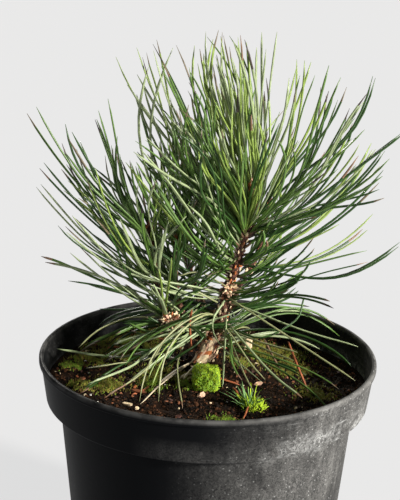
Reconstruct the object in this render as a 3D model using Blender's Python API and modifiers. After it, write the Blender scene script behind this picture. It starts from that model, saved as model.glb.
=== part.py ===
"""A young Bosnian pine in a black nursery pot.

The pot is a turned shell filled with soil. One leaning trunk stands in the soil and runs up
through the crown. Short boughs leave it low down, and masses of needles grow on stems that lie
along the trunk or carry on from a bough's tip.

Everything is in metres, +Z up. The origin is the middle of the pot's flat underside, and the
side that faces a viewer is -Y.
"""
import math
import random
from dataclasses import dataclass

import bmesh
import bpy
from mathutils import Matrix, Vector

OBJECT_NAME = "bosnian_pine_in_pot"
CLEAR = 0.0003
MERGE_DISTANCE = 0.00001
SMOOTH_ANGLE = 40.0
TINY = 1e-9

# Pot: a 17 cm nursery pot with a deep band under its lip
POT_HEIGHT = 0.132
POT_RIM_RADIUS = 0.085
POT_WALL = 0.0015
POT_FLOOR = 0.002
LIP_HEIGHT = 0.003
LIP_PROUD = 0.0007
BAND_FOOT_Z = 0.1097
BAND_FOOT_RADIUS = 0.0814
BODY_TOP_RADIUS = 0.0749
BODY_FOOT_RADIUS = 0.0647
FOOT_ROUNDING = 0.0025
POT_SEGMENTS = 48
DRAIN_HOLES = 8
DRAIN_RADIUS = 0.004
DRAIN_RING_RADIUS = 0.050
DRAIN_SIDES = 12

# Soil: a little under the rim, heaped round the trunk's foot and lower at the back right
SOIL_LEVEL = 0.1175
SOIL_HEAP = 0.0077
SOIL_HEAP_RADIUS = 0.020
SOIL_DIP = 0.003
SOIL_DIP_CENTRE = Vector((0.055, 0.055))
SOIL_DIP_RADIUS = 0.040
SOIL_RINGS = (0.009, 0.018, 0.030, 0.048, 0.068)
SEAT_MARGIN = 0.0003
SEAT_CUT_HEIGHT = 0.012
SEAT_SIDES = 24

# Trunk: its foot, its way up to the end bud, and its radii at the same stations
TRUNK_WAY = (
    (-0.0008, 0.008, 0.1240),
    (0.0006, 0.008, 0.1300),
    (0.0048, 0.008, 0.1432),
    (0.0102, 0.008, 0.1649),
    (0.0155, 0.008, 0.1860),
    (0.0188, 0.008, 0.1980),
    (0.0192, 0.008, 0.2080),
)
TRUNK_RADII = (0.0060, 0.0048, 0.0042, 0.0032, 0.0026, 0.0024, 0.0013)
TRUNK_STATIONS = 16
TRUNK_SIDES = 10

# Boughs: where each leaves the trunk, a point on its way, and its tip
BOUGH_WAYS = {
    "bough_left": ((0.0035, 0.0075, 0.1350), (-0.0090, 0.0050, 0.1395), (-0.0190, 0.0040, 0.1460)),
    "bough_back_right": ((0.0075, 0.0085, 0.1520), (0.0135, 0.0200, 0.1570), (0.0200, 0.0300, 0.1660)),
    "bough_back_left": ((0.0040, 0.0085, 0.1400), (-0.0020, 0.0200, 0.1450), (-0.0070, 0.0290, 0.1540)),
}
BOUGH_ROOT_RADIUS = 0.0031
BOUGH_TIP_RADIUS = 0.0021
BOUGH_STATIONS = 6
BOUGH_SIDES = 8

# Shoots: the stems that carry on from the trunk's tip and from the boughs
LEADER_STEM = 0.012
LEFT_SHOOT = ((-0.0266, 0.0020, 0.1700), (-0.0305, 0.0020, 0.1940))
INNER_LEFT_SHOOT = ((-0.0165, 0.0065, 0.1600), (-0.0180, 0.0090, 0.1740), (-0.0175, 0.0100, 0.1890))
BACK_LEFT_SHOOT = ((-0.0120, 0.0380, 0.1680), (-0.0160, 0.0440, 0.1900))
BACK_RIGHT_SHOOT = ((0.0260, 0.0360, 0.1780), (0.0290, 0.0400, 0.2000))

# Needles: pairs stand as one blade here, so each is a little wider than life
STEM_RADIUS = 0.0013
STEM_TIP_RADIUS = 0.0008
STEM_SIDES = 5
STEM_STATIONS = 5
NEEDLE_SIDES = 3
NEEDLE_ROOT_RADIUS = 0.0005
NEEDLE_MIDDLE_RADIUS = 0.00085
NEEDLE_GAP = 0.0005
NEEDLE_TRIES = 80
GOLDEN_PART = 0.618034
SWING_STRAY = 0.12
SWING_GROWTH = 0.38
LIFT_STRAY = 10.0
CURL_STRAY = 0.04
TEST_PARTS = (0.25, 0.5, 0.75, 1.0)
ROOT_ZONE = 0.014
ROOT_PART = 0.15
STEM_END_PART = 0.02
HEART_START = 0.2
HEART_END = 1.7
RIM_MARGIN = 0.0025

# Moss: place, half widths and height of the cushions on the soil
MOSS_CUSHIONS = {
    "moss_cushion": ((-0.0005, -0.0130), (0.0070, 0.0090), 0.0060),
    "moss_tuft": ((0.0225, -0.0350), (0.0065, 0.0065), 0.0045),
}
MOSS_SINK = 0.0010
MOSS_SEGMENTS = 16
MOSS_RINGS = 8


@dataclass
class Mass:
    """One mass of needles: the stem they grow on and the rule they follow.

    Angles are in degrees. Needles head out within spread of azimuth, and rise more steeply from
    the stem's foot to its head. Curl bends a tip up, or down where negative, by a share of the
    needle's length. Reach runs from the middle of the stem to the middle of the mass's space.
    """
    name: str
    stem: list
    azimuth: float
    spread: float
    rise: tuple
    length: tuple
    curl: float
    count: int
    reach: tuple


def clear_scene():
    """Removes whatever objects the scene starts with."""
    for thing in list(bpy.data.objects):
        bpy.data.objects.remove(thing, do_unlink=True)


def make_collection(name):
    """A new collection under the scene's own."""
    group = bpy.data.collections.new(name)
    bpy.context.scene.collection.children.link(group)
    return group


def make_material(name, colour, roughness):
    """A Principled material with the part's colour and roughness."""
    material = bpy.data.materials.new(name)
    material.use_nodes = True
    shader = material.node_tree.nodes["Principled BSDF"]
    shader.inputs["Base Color"].default_value = (*colour, 1.0)
    shader.inputs["Roughness"].default_value = roughness
    shader.inputs["Metallic"].default_value = 0.0
    material.diffuse_color = (*colour, 1.0)
    return material


def make_object(name, shape, group):
    """Fills a mesh object from a bmesh and links it to a collection."""
    mesh = bpy.data.meshes.new(name)
    shape.to_mesh(mesh)
    shape.free()
    thing = bpy.data.objects.new(name, mesh)
    group.objects.link(thing)
    return thing


def mark_cutter(cutter):
    """Keeps a cutter out of the finished object."""
    cutter.hide_render = True
    cutter.display_type = "WIRE"


def evaluated_mesh(thing):
    """The object's mesh with its modifiers worked out."""
    graph = bpy.context.evaluated_depsgraph_get()
    return bpy.data.meshes.new_from_object(thing.evaluated_get(graph), depsgraph=graph)


def apply_modifiers(thing):
    """Puts the evaluated mesh in the object's place and drops its modifiers."""
    bpy.context.view_layer.update()
    finished = evaluated_mesh(thing)
    thing.modifiers.clear()
    thing.data = finished


def smooth_way(way, stations):
    """Reads evenly spaced points from a smooth curve through the given ones."""
    knots = [Vector(point) for point in way]
    knots = [2 * knots[0] - knots[1]] + knots + [2 * knots[-1] - knots[-2]]
    spans = len(way) - 1
    points = []
    for step in range(stations + 1):
        place = min(step * spans / stations, spans - TINY)
        span = int(place)
        part = place - span
        before, start, end, after = knots[span:span + 4]
        points.append(0.5 * (
            2 * start
            + (end - before) * part
            + (2 * before - 5 * start + 4 * end - after) * part ** 2
            + (3 * start - before - 3 * end + after) * part ** 3
        ))
    return points


def spread_radii(radii, stations):
    """Reads the radius at each station from the radii given along the limb."""
    spans = len(radii) - 1
    result = []
    for step in range(stations + 1):
        place = min(step * spans / stations, spans - TINY)
        span = int(place)
        part = place - span
        result.append(radii[span] * (1 - part) + radii[span + 1] * part)
    return result


def way_frames(points):
    """A pair of cross directions at each point, turned as little as possible on the way."""
    overall = (points[-1] - points[0]).normalized()
    side = overall.orthogonal().normalized()
    frames = []
    for index in range(len(points)):
        ahead = points[min(index + 1, len(points) - 1)]
        behind = points[max(index - 1, 0)]
        tangent = (ahead - behind).normalized()
        side = (side - tangent * side.dot(tangent)).normalized()
        frames.append((side, tangent.cross(side)))
    return frames


def swept_shape(points, radii, sides, level_foot=False, pointed=False):
    """A cone primitive, cut into stations and carried along the points."""
    spans = len(points) - 1
    shape = bmesh.new()
    top = 0.0 if pointed else 1.0
    bmesh.ops.create_cone(shape, cap_ends=True, segments=sides, radius1=1.0, radius2=top, depth=spans)
    bmesh.ops.translate(shape, verts=shape.verts[:], vec=(0.0, 0.0, spans / 2))
    for station in range(1, spans):
        everything = shape.verts[:] + shape.edges[:] + shape.faces[:]
        bmesh.ops.bisect_plane(shape, geom=everything, plane_co=(0, 0, station), plane_no=(0, 0, 1))
    frames = way_frames(points)
    if level_foot:
        side = Vector((frames[0][0].x, frames[0][0].y, 0.0)).normalized()
        frames[0] = (side, Vector((0.0, 0.0, 1.0)).cross(side))
    for vertex in shape.verts:
        station = round(vertex.co.z)
        across = Vector((vertex.co.x, vertex.co.y))
        if across.length > 0.0:
            across = across.normalized() * radii[station]
        side, other = frames[station]
        vertex.co = points[station] + side * across.x + other * across.y
    return shape


def turned_object(name, profile, segments, group):
    """Turns a profile round the Z axis, from the axis back to the axis."""
    shape = bmesh.new()
    corners = [shape.verts.new((radius, 0.0, height)) for radius, height in profile]
    for first, second in zip(corners, corners[1:]):
        shape.edges.new((first, second))
    thing = make_object(name, shape, group)
    screw = thing.modifiers.new("turn", "SCREW")
    screw.steps = segments
    screw.render_steps = segments
    screw.use_merge_vertices = True
    screw.merge_threshold = MERGE_DISTANCE
    apply_modifiers(thing)
    return thing


def cut_with(thing, cutters):
    """Cuts every object of a collection out of the given one."""
    cut = thing.modifiers.new("cut", "BOOLEAN")
    cut.operation = "DIFFERENCE"
    cut.operand_type = "COLLECTION"
    cut.collection = cutters
    cut.solver = "EXACT"
    apply_modifiers(thing)


def wall_radius(height):
    """Outer radius of the pot's body or band at a height, without its lip."""
    if height < BAND_FOOT_Z:
        return BODY_FOOT_RADIUS + (BODY_TOP_RADIUS - BODY_FOOT_RADIUS) * height / BAND_FOOT_Z
    part = (height - BAND_FOOT_Z) / (POT_HEIGHT - BAND_FOOT_Z)
    return BAND_FOOT_RADIUS + (POT_RIM_RADIUS - LIP_PROUD - BAND_FOOT_RADIUS) * part


def inner_profile():
    """The pot's inner wall from the floor's edge up to the lip."""
    ledge = BAND_FOOT_Z + POT_WALL
    return [
        (wall_radius(POT_FLOOR) - POT_WALL, POT_FLOOR),
        (BODY_TOP_RADIUS - POT_WALL, ledge),
        (wall_radius(ledge) - POT_WALL, ledge),
        (wall_radius(POT_HEIGHT) - POT_WALL, POT_HEIGHT - LIP_PROUD),
    ]


def make_pot(group, cutters, material):
    """The turned pot, with a rounded lip, a band, a ledge under it and drain holes."""
    lip_foot = POT_HEIGHT - LIP_HEIGHT
    profile = [(0.0, POT_FLOOR)] + inner_profile()
    profile += [
        (POT_RIM_RADIUS - POT_WALL, POT_HEIGHT),
        (POT_RIM_RADIUS - LIP_PROUD, POT_HEIGHT),
        (POT_RIM_RADIUS, POT_HEIGHT - LIP_PROUD),
        (POT_RIM_RADIUS, lip_foot + LIP_PROUD),
        (wall_radius(lip_foot), lip_foot),
        (BAND_FOOT_RADIUS, BAND_FOOT_Z + LIP_PROUD),
        (BAND_FOOT_RADIUS - LIP_PROUD, BAND_FOOT_Z),
        (BODY_TOP_RADIUS, BAND_FOOT_Z),
        (wall_radius(FOOT_ROUNDING), FOOT_ROUNDING),
        (BODY_FOOT_RADIUS - FOOT_ROUNDING, 0.0),
        (0.0, 0.0),
    ]
    pot = turned_object("pot", profile, POT_SEGMENTS, group)
    for index in range(DRAIN_HOLES):
        angle = 2 * math.pi * (index + 0.5) / DRAIN_HOLES
        centre = Vector((math.cos(angle), math.sin(angle), 0.0)) * DRAIN_RING_RADIUS
        drill = bmesh.new()
        bmesh.ops.create_cone(
            drill, cap_ends=True, segments=DRAIN_SIDES, radius1=DRAIN_RADIUS, radius2=DRAIN_RADIUS,
            depth=4 * POT_FLOOR, matrix=Matrix.Translation(centre),
        )
        mark_cutter(make_object(f"drain_{index + 1}", drill, cutters))
    cut_with(pot, cutters)
    finish_round(pot, material)
    return pot


def soil_height(x, y):
    """Height of the soil's surface: level, heaped at the trunk and lower at the back right."""
    foot = Vector(TRUNK_WAY[0][:2])
    from_foot = (Vector((x, y)) - foot).length / SOIL_HEAP_RADIUS
    from_dip = (Vector((x, y)) - SOIL_DIP_CENTRE).length / SOIL_DIP_RADIUS
    return SOIL_LEVEL + SOIL_HEAP * math.exp(-from_foot ** 2) - SOIL_DIP * math.exp(-from_dip ** 2)


def moss_seat(place):
    """Height of the flat seat that a moss cushion rests on."""
    return soil_height(*place) - MOSS_SINK


def make_soil(group, cutters, material):
    """The soil that fills the pot, with a flat seat under the trunk and each moss cushion."""
    inner = [(radius - CLEAR, height) for radius, height in inner_profile()]
    bottom = POT_FLOOR + CLEAR
    ledge = inner[1][1] + CLEAR
    edge_radius = wall_radius(SOIL_LEVEL) - POT_WALL - CLEAR
    profile = [(0.0, SOIL_LEVEL)]
    profile += [(radius, SOIL_LEVEL) for radius in SOIL_RINGS]
    profile += [
        (edge_radius, SOIL_LEVEL),
        (inner[2][0], ledge),
        (inner[1][0], ledge),
        (inner[0][0], bottom),
        (0.0, bottom),
    ]
    soil = turned_object("soil", profile, POT_SEGMENTS, group)
    for vertex in soil.data.vertices:
        if abs(vertex.co.z - SOIL_LEVEL) > CLEAR:
            continue
        height = soil_height(vertex.co.x, vertex.co.y)
        if vertex.co.xy.length > SOIL_RINGS[-1] + CLEAR:
            narrower = (wall_radius(height) - POT_WALL - CLEAR) / vertex.co.xy.length
            vertex.co.x *= narrower
            vertex.co.y *= narrower
        vertex.co.z = height
    foot = Vector(TRUNK_WAY[0])
    seats = [(foot.xy, (TRUNK_RADII[0], TRUNK_RADII[0]), foot.z - CLEAR)]
    for place, half_widths, _height in MOSS_CUSHIONS.values():
        seats.append((Vector(place), half_widths, moss_seat(place) - CLEAR))
    for index, (place, half_widths, seat) in enumerate(seats):
        drill = bmesh.new()
        bmesh.ops.create_cone(
            drill, cap_ends=True, segments=SEAT_SIDES, radius1=1.0, radius2=1.0, depth=SEAT_CUT_HEIGHT)
        for vertex in drill.verts:
            vertex.co.x = place.x + vertex.co.x * (half_widths[0] + SEAT_MARGIN)
            vertex.co.y = place.y + vertex.co.y * (half_widths[1] + SEAT_MARGIN)
            vertex.co.z += seat + SEAT_CUT_HEIGHT / 2
        mark_cutter(make_object(f"seat_{index + 1}", drill, cutters))
    cut_with(soil, cutters)
    finish_round(soil, material)
    return soil


def make_moss(group, material):
    """Low domes of moss, each cut flat where it rests in the soil."""
    for name, (place, half_widths, height) in MOSS_CUSHIONS.items():
        shape = bmesh.new()
        bmesh.ops.create_uvsphere(shape, u_segments=MOSS_SEGMENTS, v_segments=MOSS_RINGS, radius=1.0)
        everything = shape.verts[:] + shape.edges[:] + shape.faces[:]
        bmesh.ops.bisect_plane(
            shape, geom=everything, plane_co=(0, 0, 0), plane_no=(0, 0, 1), clear_inner=True)
        rim = [edge for edge in shape.edges if edge.is_boundary]
        bmesh.ops.holes_fill(shape, edges=rim)
        bmesh.ops.recalc_face_normals(shape, faces=shape.faces[:])
        for vertex in shape.verts:
            vertex.co.x = place[0] + vertex.co.x * half_widths[0]
            vertex.co.y = place[1] + vertex.co.y * half_widths[1]
            vertex.co.z = moss_seat(place) + vertex.co.z * (height + MOSS_SINK)
        finish_round(make_object(name, shape, group), material)


def finish_round(thing, material):
    """Gives the piece its material and smooth shading on its round faces."""
    thing.data.materials.clear()
    thing.data.materials.append(material)
    thing.data.shade_smooth()
    thing.data.set_sharp_from_angle(angle=math.radians(SMOOTH_ANGLE))


def trunk_line():
    """The trunk's axis points and radii from foot to tip."""
    return smooth_way(TRUNK_WAY, TRUNK_STATIONS), spread_radii(TRUNK_RADII, TRUNK_STATIONS)


def bough_line(name):
    """A bough's axis points and radii from the trunk to its tip."""
    radii = spread_radii((BOUGH_ROOT_RADIUS, BOUGH_TIP_RADIUS), BOUGH_STATIONS)
    return smooth_way(BOUGH_WAYS[name], BOUGH_STATIONS), radii


def make_trunk(group, material):
    """The whole trunk, flat at the soil, tapering to the end bud."""
    points, radii = trunk_line()
    shape = swept_shape(points, radii, TRUNK_SIDES, level_foot=True)
    finish_round(make_object("trunk", shape, group), material)


def make_boughs(group, cutters, material):
    """Short tapering boughs, each seated on the trunk with a hair of clearance."""
    points, radii = trunk_line()
    wider = [radius + CLEAR for radius in radii]
    mark_cutter(make_object("trunk_clearance", swept_shape(points, wider, TRUNK_SIDES), cutters))
    for name in BOUGH_WAYS:
        points, radii = bough_line(name)
        bough = make_object(name, swept_shape(points, radii, BOUGH_SIDES), group)
        cut_with(bough, cutters)
        keep_largest_body(bough)
        finish_round(bough, material)


def keep_largest_body(thing):
    """Drops any loose scrap that a cut or union left beside the main body."""
    shape = bmesh.new()
    shape.from_mesh(thing.data)
    unseen = set(shape.verts)
    bodies = []
    while unseen:
        body = set()
        edge_of_search = [unseen.pop()]
        while edge_of_search:
            vertex = edge_of_search.pop()
            body.add(vertex)
            for edge in vertex.link_edges:
                neighbour = edge.other_vert(vertex)
                if neighbour in unseen:
                    unseen.remove(neighbour)
                    edge_of_search.append(neighbour)
        bodies.append(body)
    bodies.sort(key=len)
    for body in bodies[:-1]:
        bmesh.ops.delete(shape, geom=list(body), context="VERTS")
    shape.to_mesh(thing.data)
    shape.free()


def stem_beside_trunk(azimuth, start, end):
    """A stem that lies along the trunk on one side, between two heights."""
    points, radii = trunk_line()
    outward = Vector((math.cos(math.radians(azimuth)), math.sin(math.radians(azimuth)), 0.0))
    beside = []
    for index, point in enumerate(points):
        if start <= point.z <= end:
            tangent = (points[min(index + 1, len(points) - 1)] - points[index - 1]).normalized()
            away = (outward - tangent * outward.dot(tangent)).normalized()
            beside.append(point + away * (radii[index] + STEM_RADIUS + 2 * CLEAR))
    return smooth_way(beside, STEM_STATIONS)


def stem_beyond(name, way):
    """A stem that carries on from a bough's tip."""
    points, _radii = bough_line(name)
    onward = (points[-1] - points[-2]).normalized()
    start = points[-1] + onward * CLEAR
    straight_end = start + onward * 2 * STEM_RADIUS
    return [start] + smooth_way([straight_end] + [Vector(point) for point in way], STEM_STATIONS - 1)


def stem_aside(name, way):
    """A stem that leaves the upper side of a bough just before its tip."""
    points, radii = bough_line(name)
    first = Vector(way[0])
    foot = points[-2]
    upward = (first - foot).normalized()
    onward = (points[-1] - points[-2]).normalized()
    away = (upward - onward * upward.dot(onward)).normalized()
    start = foot + away * (radii[-2] + 2 * CLEAR)
    straight_end = start + away * 2 * STEM_RADIUS
    return [start] + smooth_way([straight_end] + [Vector(point) for point in way], STEM_STATIONS - 1)


def stem_above_trunk(height):
    """A stem that carries on from the trunk's tip."""
    points, _radii = trunk_line()
    onward = (points[-1] - points[-2]).normalized()
    start = points[-1] + onward * CLEAR
    return smooth_way([start, start + onward * height], STEM_STATIONS)


def list_masses():
    """Every mass of needles, round the trunk from its top down and on each bough's tip."""
    beside = stem_beside_trunk
    return [
        Mass(
            name="needles_leader", stem=stem_above_trunk(LEADER_STEM),
            azimuth=180, spread=105, rise=(58, 84), length=(0.064, 0.074), curl=0.02, count=36,
            reach=(-0.010, 0.000, 0.040),
        ),
        Mass(
            name="needles_right", stem=beside(0, 0.166, 0.202),
            azimuth=0, spread=56, rise=(0, 58), length=(0.063, 0.075), curl=0.10, count=44,
            reach=(0.036, 0.000, 0.026),
        ),
        Mass(
            name="needles_left_high", stem=beside(180, 0.166, 0.202),
            azimuth=180, spread=52, rise=(34, 68), length=(0.074, 0.088), curl=0.05, count=38,
            reach=(-0.016, -0.004, 0.040),
        ),
        Mass(
            name="needles_front", stem=beside(270, 0.172, 0.202),
            azimuth=270, spread=56, rise=(22, 60), length=(0.060, 0.074), curl=0.08, count=30,
            reach=(0.000, -0.036, 0.026),
        ),
        Mass(
            name="needles_back", stem=beside(90, 0.172, 0.202),
            azimuth=90, spread=52, rise=(22, 62), length=(0.066, 0.080), curl=0.08, count=34,
            reach=(0.000, 0.040, 0.026),
        ),
        Mass(
            name="needles_left", stem=stem_beyond("bough_left", LEFT_SHOOT),
            azimuth=195, spread=120, rise=(4, 72), length=(0.068, 0.082), curl=0.09, count=54,
            reach=(-0.032, -0.010, 0.024),
        ),
        Mass(
            name="needles_left_inner", stem=stem_aside("bough_left", INNER_LEFT_SHOOT),
            azimuth=100, spread=150, rise=(20, 84), length=(0.064, 0.078), curl=0.04, count=34,
            reach=(-0.002, 0.010, 0.040),
        ),
        Mass(
            name="needles_back_left", stem=stem_beyond("bough_back_left", BACK_LEFT_SHOOT),
            azimuth=125, spread=130, rise=(12, 76), length=(0.066, 0.078), curl=0.08, count=40,
            reach=(-0.016, 0.026, 0.030),
        ),
        Mass(
            name="needles_back_right", stem=stem_beyond("bough_back_right", BACK_RIGHT_SHOOT),
            azimuth=45, spread=130, rise=(10, 76), length=(0.066, 0.078), curl=0.08, count=42,
            reach=(0.020, 0.026, 0.026),
        ),
        Mass(
            name="needles_skirt_left", stem=beside(195, 0.144, 0.162),
            azimuth=195, spread=52, rise=(-20, 2), length=(0.062, 0.078), curl=-0.08, count=28,
            reach=(-0.036, -0.010, -0.012),
        ),
        Mass(
            name="needles_skirt_right", stem=beside(350, 0.132, 0.158),
            azimuth=345, spread=60, rise=(-18, 8), length=(0.060, 0.076), curl=-0.08, count=34,
            reach=(0.036, -0.008, -0.006),
        ),
        Mass(
            name="needles_skirt_back", stem=beside(50, 0.130, 0.148),
            azimuth=72, spread=50, rise=(-8, 14), length=(0.058, 0.072), curl=-0.08, count=22,
            reach=(0.010, 0.036, -0.004),
        ),
        Mass(
            name="needles_skirt_front", stem=beside(270, 0.131, 0.160),
            azimuth=264, spread=40, rise=(-14, 14), length=(0.046, 0.064), curl=-0.14, count=18,
            reach=(0.000, -0.034, -0.006),
        ),
    ]


def needle_points(root, heading, rise, length, curl):
    """Root, middle and tip of a needle that bends up or down on its way out."""
    flat = math.cos(rise)
    straight = Vector((math.cos(heading) * flat, math.sin(heading) * flat, math.sin(rise)))
    points = []
    for part in (0.0, 0.5, 1.0):
        points.append(root + straight * length * part + Vector((0, 0, curl * length * part ** 2)))
    return points


def segment_gap(start_a, end_a, start_b, end_b):
    """Shortest distance between two straight stretches."""
    along_a = end_a - start_a
    along_b = end_b - start_b
    between = start_a - start_b
    aa = along_a.dot(along_a)
    bb = along_b.dot(along_b)
    ab = along_a.dot(along_b)
    a_between = along_a.dot(between)
    b_between = along_b.dot(between)
    spread = aa * bb - ab * ab
    part_a = 0.0
    if spread > TINY ** 2:
        part_a = min(max((ab * b_between - bb * a_between) / spread, 0.0), 1.0)
    part_b = min(max((ab * part_a + b_between) / bb, 0.0), 1.0)
    part_a = min(max((ab * part_b - a_between) / aa, 0.0), 1.0)
    return (between + along_a * part_a - along_b * part_b).length


def way_gap(points, other_points):
    """Shortest distance between two ways of straight stretches."""
    gaps = []
    for start_a, end_a in zip(points, points[1:]):
        for start_b, end_b in zip(other_points, other_points[1:]):
            gaps.append(segment_gap(start_a, end_a, start_b, end_b))
    return min(gaps)


def heart_gap(place, heart):
    """Distance from a place to a mass's heart, a straight stretch through its middle."""
    start, end = heart
    along = end - start
    part = min(max((place - start).dot(along) / along.length_squared, 0.0), 1.0)
    return (place - start - along * part).length


def in_own_space(points, mass, hearts):
    """True where the outer needle lies nearest to its own mass's heart."""
    for first, second in zip(points, points[1:]):
        for part in TEST_PARTS:
            place = first.lerp(second, part)
            if (place - points[0]).length < ROOT_ZONE:
                continue
            own = heart_gap(place, hearts[mass.name])
            for name, heart in hearts.items():
                if name != mass.name and heart_gap(place, heart) < own + 2 * NEEDLE_GAP:
                    return False
    return True


def over_pot_and_soil(points):
    """True where the needle stays above the soil and clear of the pot's wall and rim."""
    for first, second in zip(points, points[1:]):
        for part in TEST_PARTS:
            place = first.lerp(second, part)
            radius = place.xy.length
            if place.z < soil_height(place.x, place.y) + NEEDLE_MIDDLE_RADIUS + NEEDLE_GAP:
                return False
            inside = wall_radius(place.z) - POT_WALL - RIM_MARGIN
            if place.z < POT_HEIGHT + RIM_MARGIN and radius > inside:
                return False
    return True


def clear_of_limbs(points, limbs):
    """True where the needle, past its root, passes clear of the trunk and every bough."""
    outer = [points[0].lerp(points[1], ROOT_PART)] + points[1:]
    for line, radii in limbs:
        for first, second, radius in zip(line, line[1:], radii):
            if way_gap(outer, (first, second)) < radius + NEEDLE_MIDDLE_RADIUS + NEEDLE_GAP:
                return False
    return True


def clear_of_others(points, mass, placed):
    """True where the needle passes clear of every stem and needle of the other masses."""
    for name, line, radius in placed:
        if name == mass.name:
            continue
        if way_gap(points, line) < radius + NEEDLE_MIDDLE_RADIUS + NEEDLE_GAP:
            return False
    return True


def grow_needles(mass, hearts, limbs, placed, seed):
    """Places a mass's needles by a seeded rule, skipping any that would leave its space."""
    chance = random.Random(seed)
    grown = []
    for index in range(mass.count):
        for attempt in range(NEEDLE_TRIES):
            along = (index + chance.random()) / mass.count
            along = min(max(along, STEM_END_PART), 1 - STEM_END_PART)
            stray = SWING_STRAY + SWING_GROWTH * attempt / NEEDLE_TRIES
            swing = (index * GOLDEN_PART + chance.uniform(-stray, stray)) % 1.0
            heading = math.radians(mass.azimuth + mass.spread * (2 * swing - 1))
            lift = mass.rise[0] + (mass.rise[1] - mass.rise[0]) * along
            lift += chance.uniform(-LIFT_STRAY, LIFT_STRAY)
            length = chance.uniform(*mass.length)
            place = along * (len(mass.stem) - 1)
            span = int(place)
            root = mass.stem[span].lerp(mass.stem[span + 1], place - span)
            curl = mass.curl + chance.uniform(-CURL_STRAY, CURL_STRAY)
            points = needle_points(root, heading, math.radians(lift), length, curl)
            if not in_own_space(points, mass, hearts) or not over_pot_and_soil(points):
                continue
            if clear_of_limbs(points, limbs) and clear_of_others(points, mass, placed):
                grown.append(points)
                break
    return grown


def make_mass(mass, needles, group, material):
    """Joins a stem and its needles into one closed solid."""
    stem_radii = spread_radii((STEM_RADIUS, STEM_TIP_RADIUS), STEM_STATIONS)
    thing = make_object(mass.name, swept_shape(mass.stem, stem_radii, STEM_SIDES), group)
    sprays = make_collection(mass.name + "_sprays")
    radii = (NEEDLE_ROOT_RADIUS, NEEDLE_MIDDLE_RADIUS, 0.0)
    for index, points in enumerate(needles):
        blade = swept_shape(points, radii, NEEDLE_SIDES, pointed=True)
        make_object(f"{mass.name}_{index + 1}", blade, sprays)
    join = thing.modifiers.new("join", "BOOLEAN")
    join.operation = "UNION"
    join.operand_type = "COLLECTION"
    join.collection = sprays
    join.solver = "EXACT"
    apply_modifiers(thing)
    for blade in list(sprays.objects):
        bpy.data.objects.remove(blade, do_unlink=True)
    bpy.data.collections.remove(sprays)
    keep_largest_body(thing)
    thing.data.materials.clear()
    thing.data.materials.append(material)


def make_foliage(group, material):
    """Grows every mass of needles round the trunk and on the boughs."""
    masses = list_masses()
    hearts = {}
    placed = []
    for mass in masses:
        middle = mass.stem[len(mass.stem) // 2]
        reach = Vector(mass.reach)
        hearts[mass.name] = (middle + reach * HEART_START, middle + reach * HEART_END)
        placed.append((mass.name, mass.stem, STEM_RADIUS))
    limbs = [trunk_line()] + [bough_line(name) for name in BOUGH_WAYS]
    for seed, mass in enumerate(masses):
        needles = grow_needles(mass, hearts, limbs, placed, seed)
        placed += [(mass.name, points, NEEDLE_MIDDLE_RADIUS) for points in needles]
        make_mass(mass, needles, group, material)


def main():
    """Builds the pot, the soil, the moss and the plant."""
    clear_scene()
    parts = make_collection(OBJECT_NAME)
    pot_cutters = make_collection("pot_cutters")
    soil_cutters = make_collection("soil_cutters")
    bough_cutters = make_collection("bough_cutters")
    plastic = make_material("black_plastic", (0.020, 0.021, 0.023), 0.50)
    earth = make_material("soil", (0.050, 0.032, 0.020), 0.95)
    moss = make_material("moss", (0.210, 0.430, 0.030), 0.90)
    bark = make_material("bark", (0.300, 0.160, 0.090), 0.85)
    needle = make_material("needles", (0.100, 0.200, 0.070), 0.55)
    make_pot(parts, pot_cutters, plastic)
    make_soil(parts, soil_cutters, earth)
    make_moss(parts, moss)
    make_trunk(parts, bark)
    make_boughs(parts, bough_cutters, bark)
    make_foliage(parts, needle)


main()
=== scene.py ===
"""The looks of a young Bosnian pine in a black nursery pot.

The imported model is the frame, and every piece here stands where its solids are. The needles
grow by the same rule as the solids' needles, from the same stems and within the same reach, but
as pairs of slim blades in sheaths. Everything is in metres, +Z up, and a viewer stands at -Y.
Places and sizes written as whole numbers are in tenths of a millimetre.
"""

import math
import random
from dataclasses import dataclass
from itertools import combinations

import bpy
import numpy as np
from mathutils import Matrix, Vector, noise


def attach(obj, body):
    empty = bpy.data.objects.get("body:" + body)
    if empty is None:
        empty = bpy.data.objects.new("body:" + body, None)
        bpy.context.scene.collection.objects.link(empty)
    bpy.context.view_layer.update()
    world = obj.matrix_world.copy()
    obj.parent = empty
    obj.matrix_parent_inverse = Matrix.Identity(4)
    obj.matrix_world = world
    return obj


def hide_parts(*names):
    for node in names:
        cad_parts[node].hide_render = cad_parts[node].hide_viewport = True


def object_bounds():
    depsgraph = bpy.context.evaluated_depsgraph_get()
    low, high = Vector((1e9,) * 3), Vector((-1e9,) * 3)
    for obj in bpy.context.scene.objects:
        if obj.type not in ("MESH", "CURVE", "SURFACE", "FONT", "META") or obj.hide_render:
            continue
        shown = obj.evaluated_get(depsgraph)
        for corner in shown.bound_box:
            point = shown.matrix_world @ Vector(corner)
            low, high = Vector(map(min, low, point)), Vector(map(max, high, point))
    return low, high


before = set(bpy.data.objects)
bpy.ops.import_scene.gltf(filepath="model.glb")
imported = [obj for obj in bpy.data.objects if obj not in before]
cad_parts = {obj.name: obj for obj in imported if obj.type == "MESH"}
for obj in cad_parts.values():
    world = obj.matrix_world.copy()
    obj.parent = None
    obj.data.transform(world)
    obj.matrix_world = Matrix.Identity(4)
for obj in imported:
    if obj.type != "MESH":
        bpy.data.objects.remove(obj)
CAD_LOW, CAD_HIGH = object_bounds()
BODY = "root"
TINY = 1e-9
FULL_TURN = 2 * np.pi
SEEDS = {"litter": 5, "carpet": 11, "cushion": 12, "tuft": 13, "scales": 21, "buds": 22,
         "crown": 31, "strays": 41}


def metres(tenths):
    """Tenths of a millimetre, alone or in nested rows, as metres."""
    return tuple(map(metres, tenths)) if isinstance(tenths, tuple) else tenths / 10000


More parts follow.
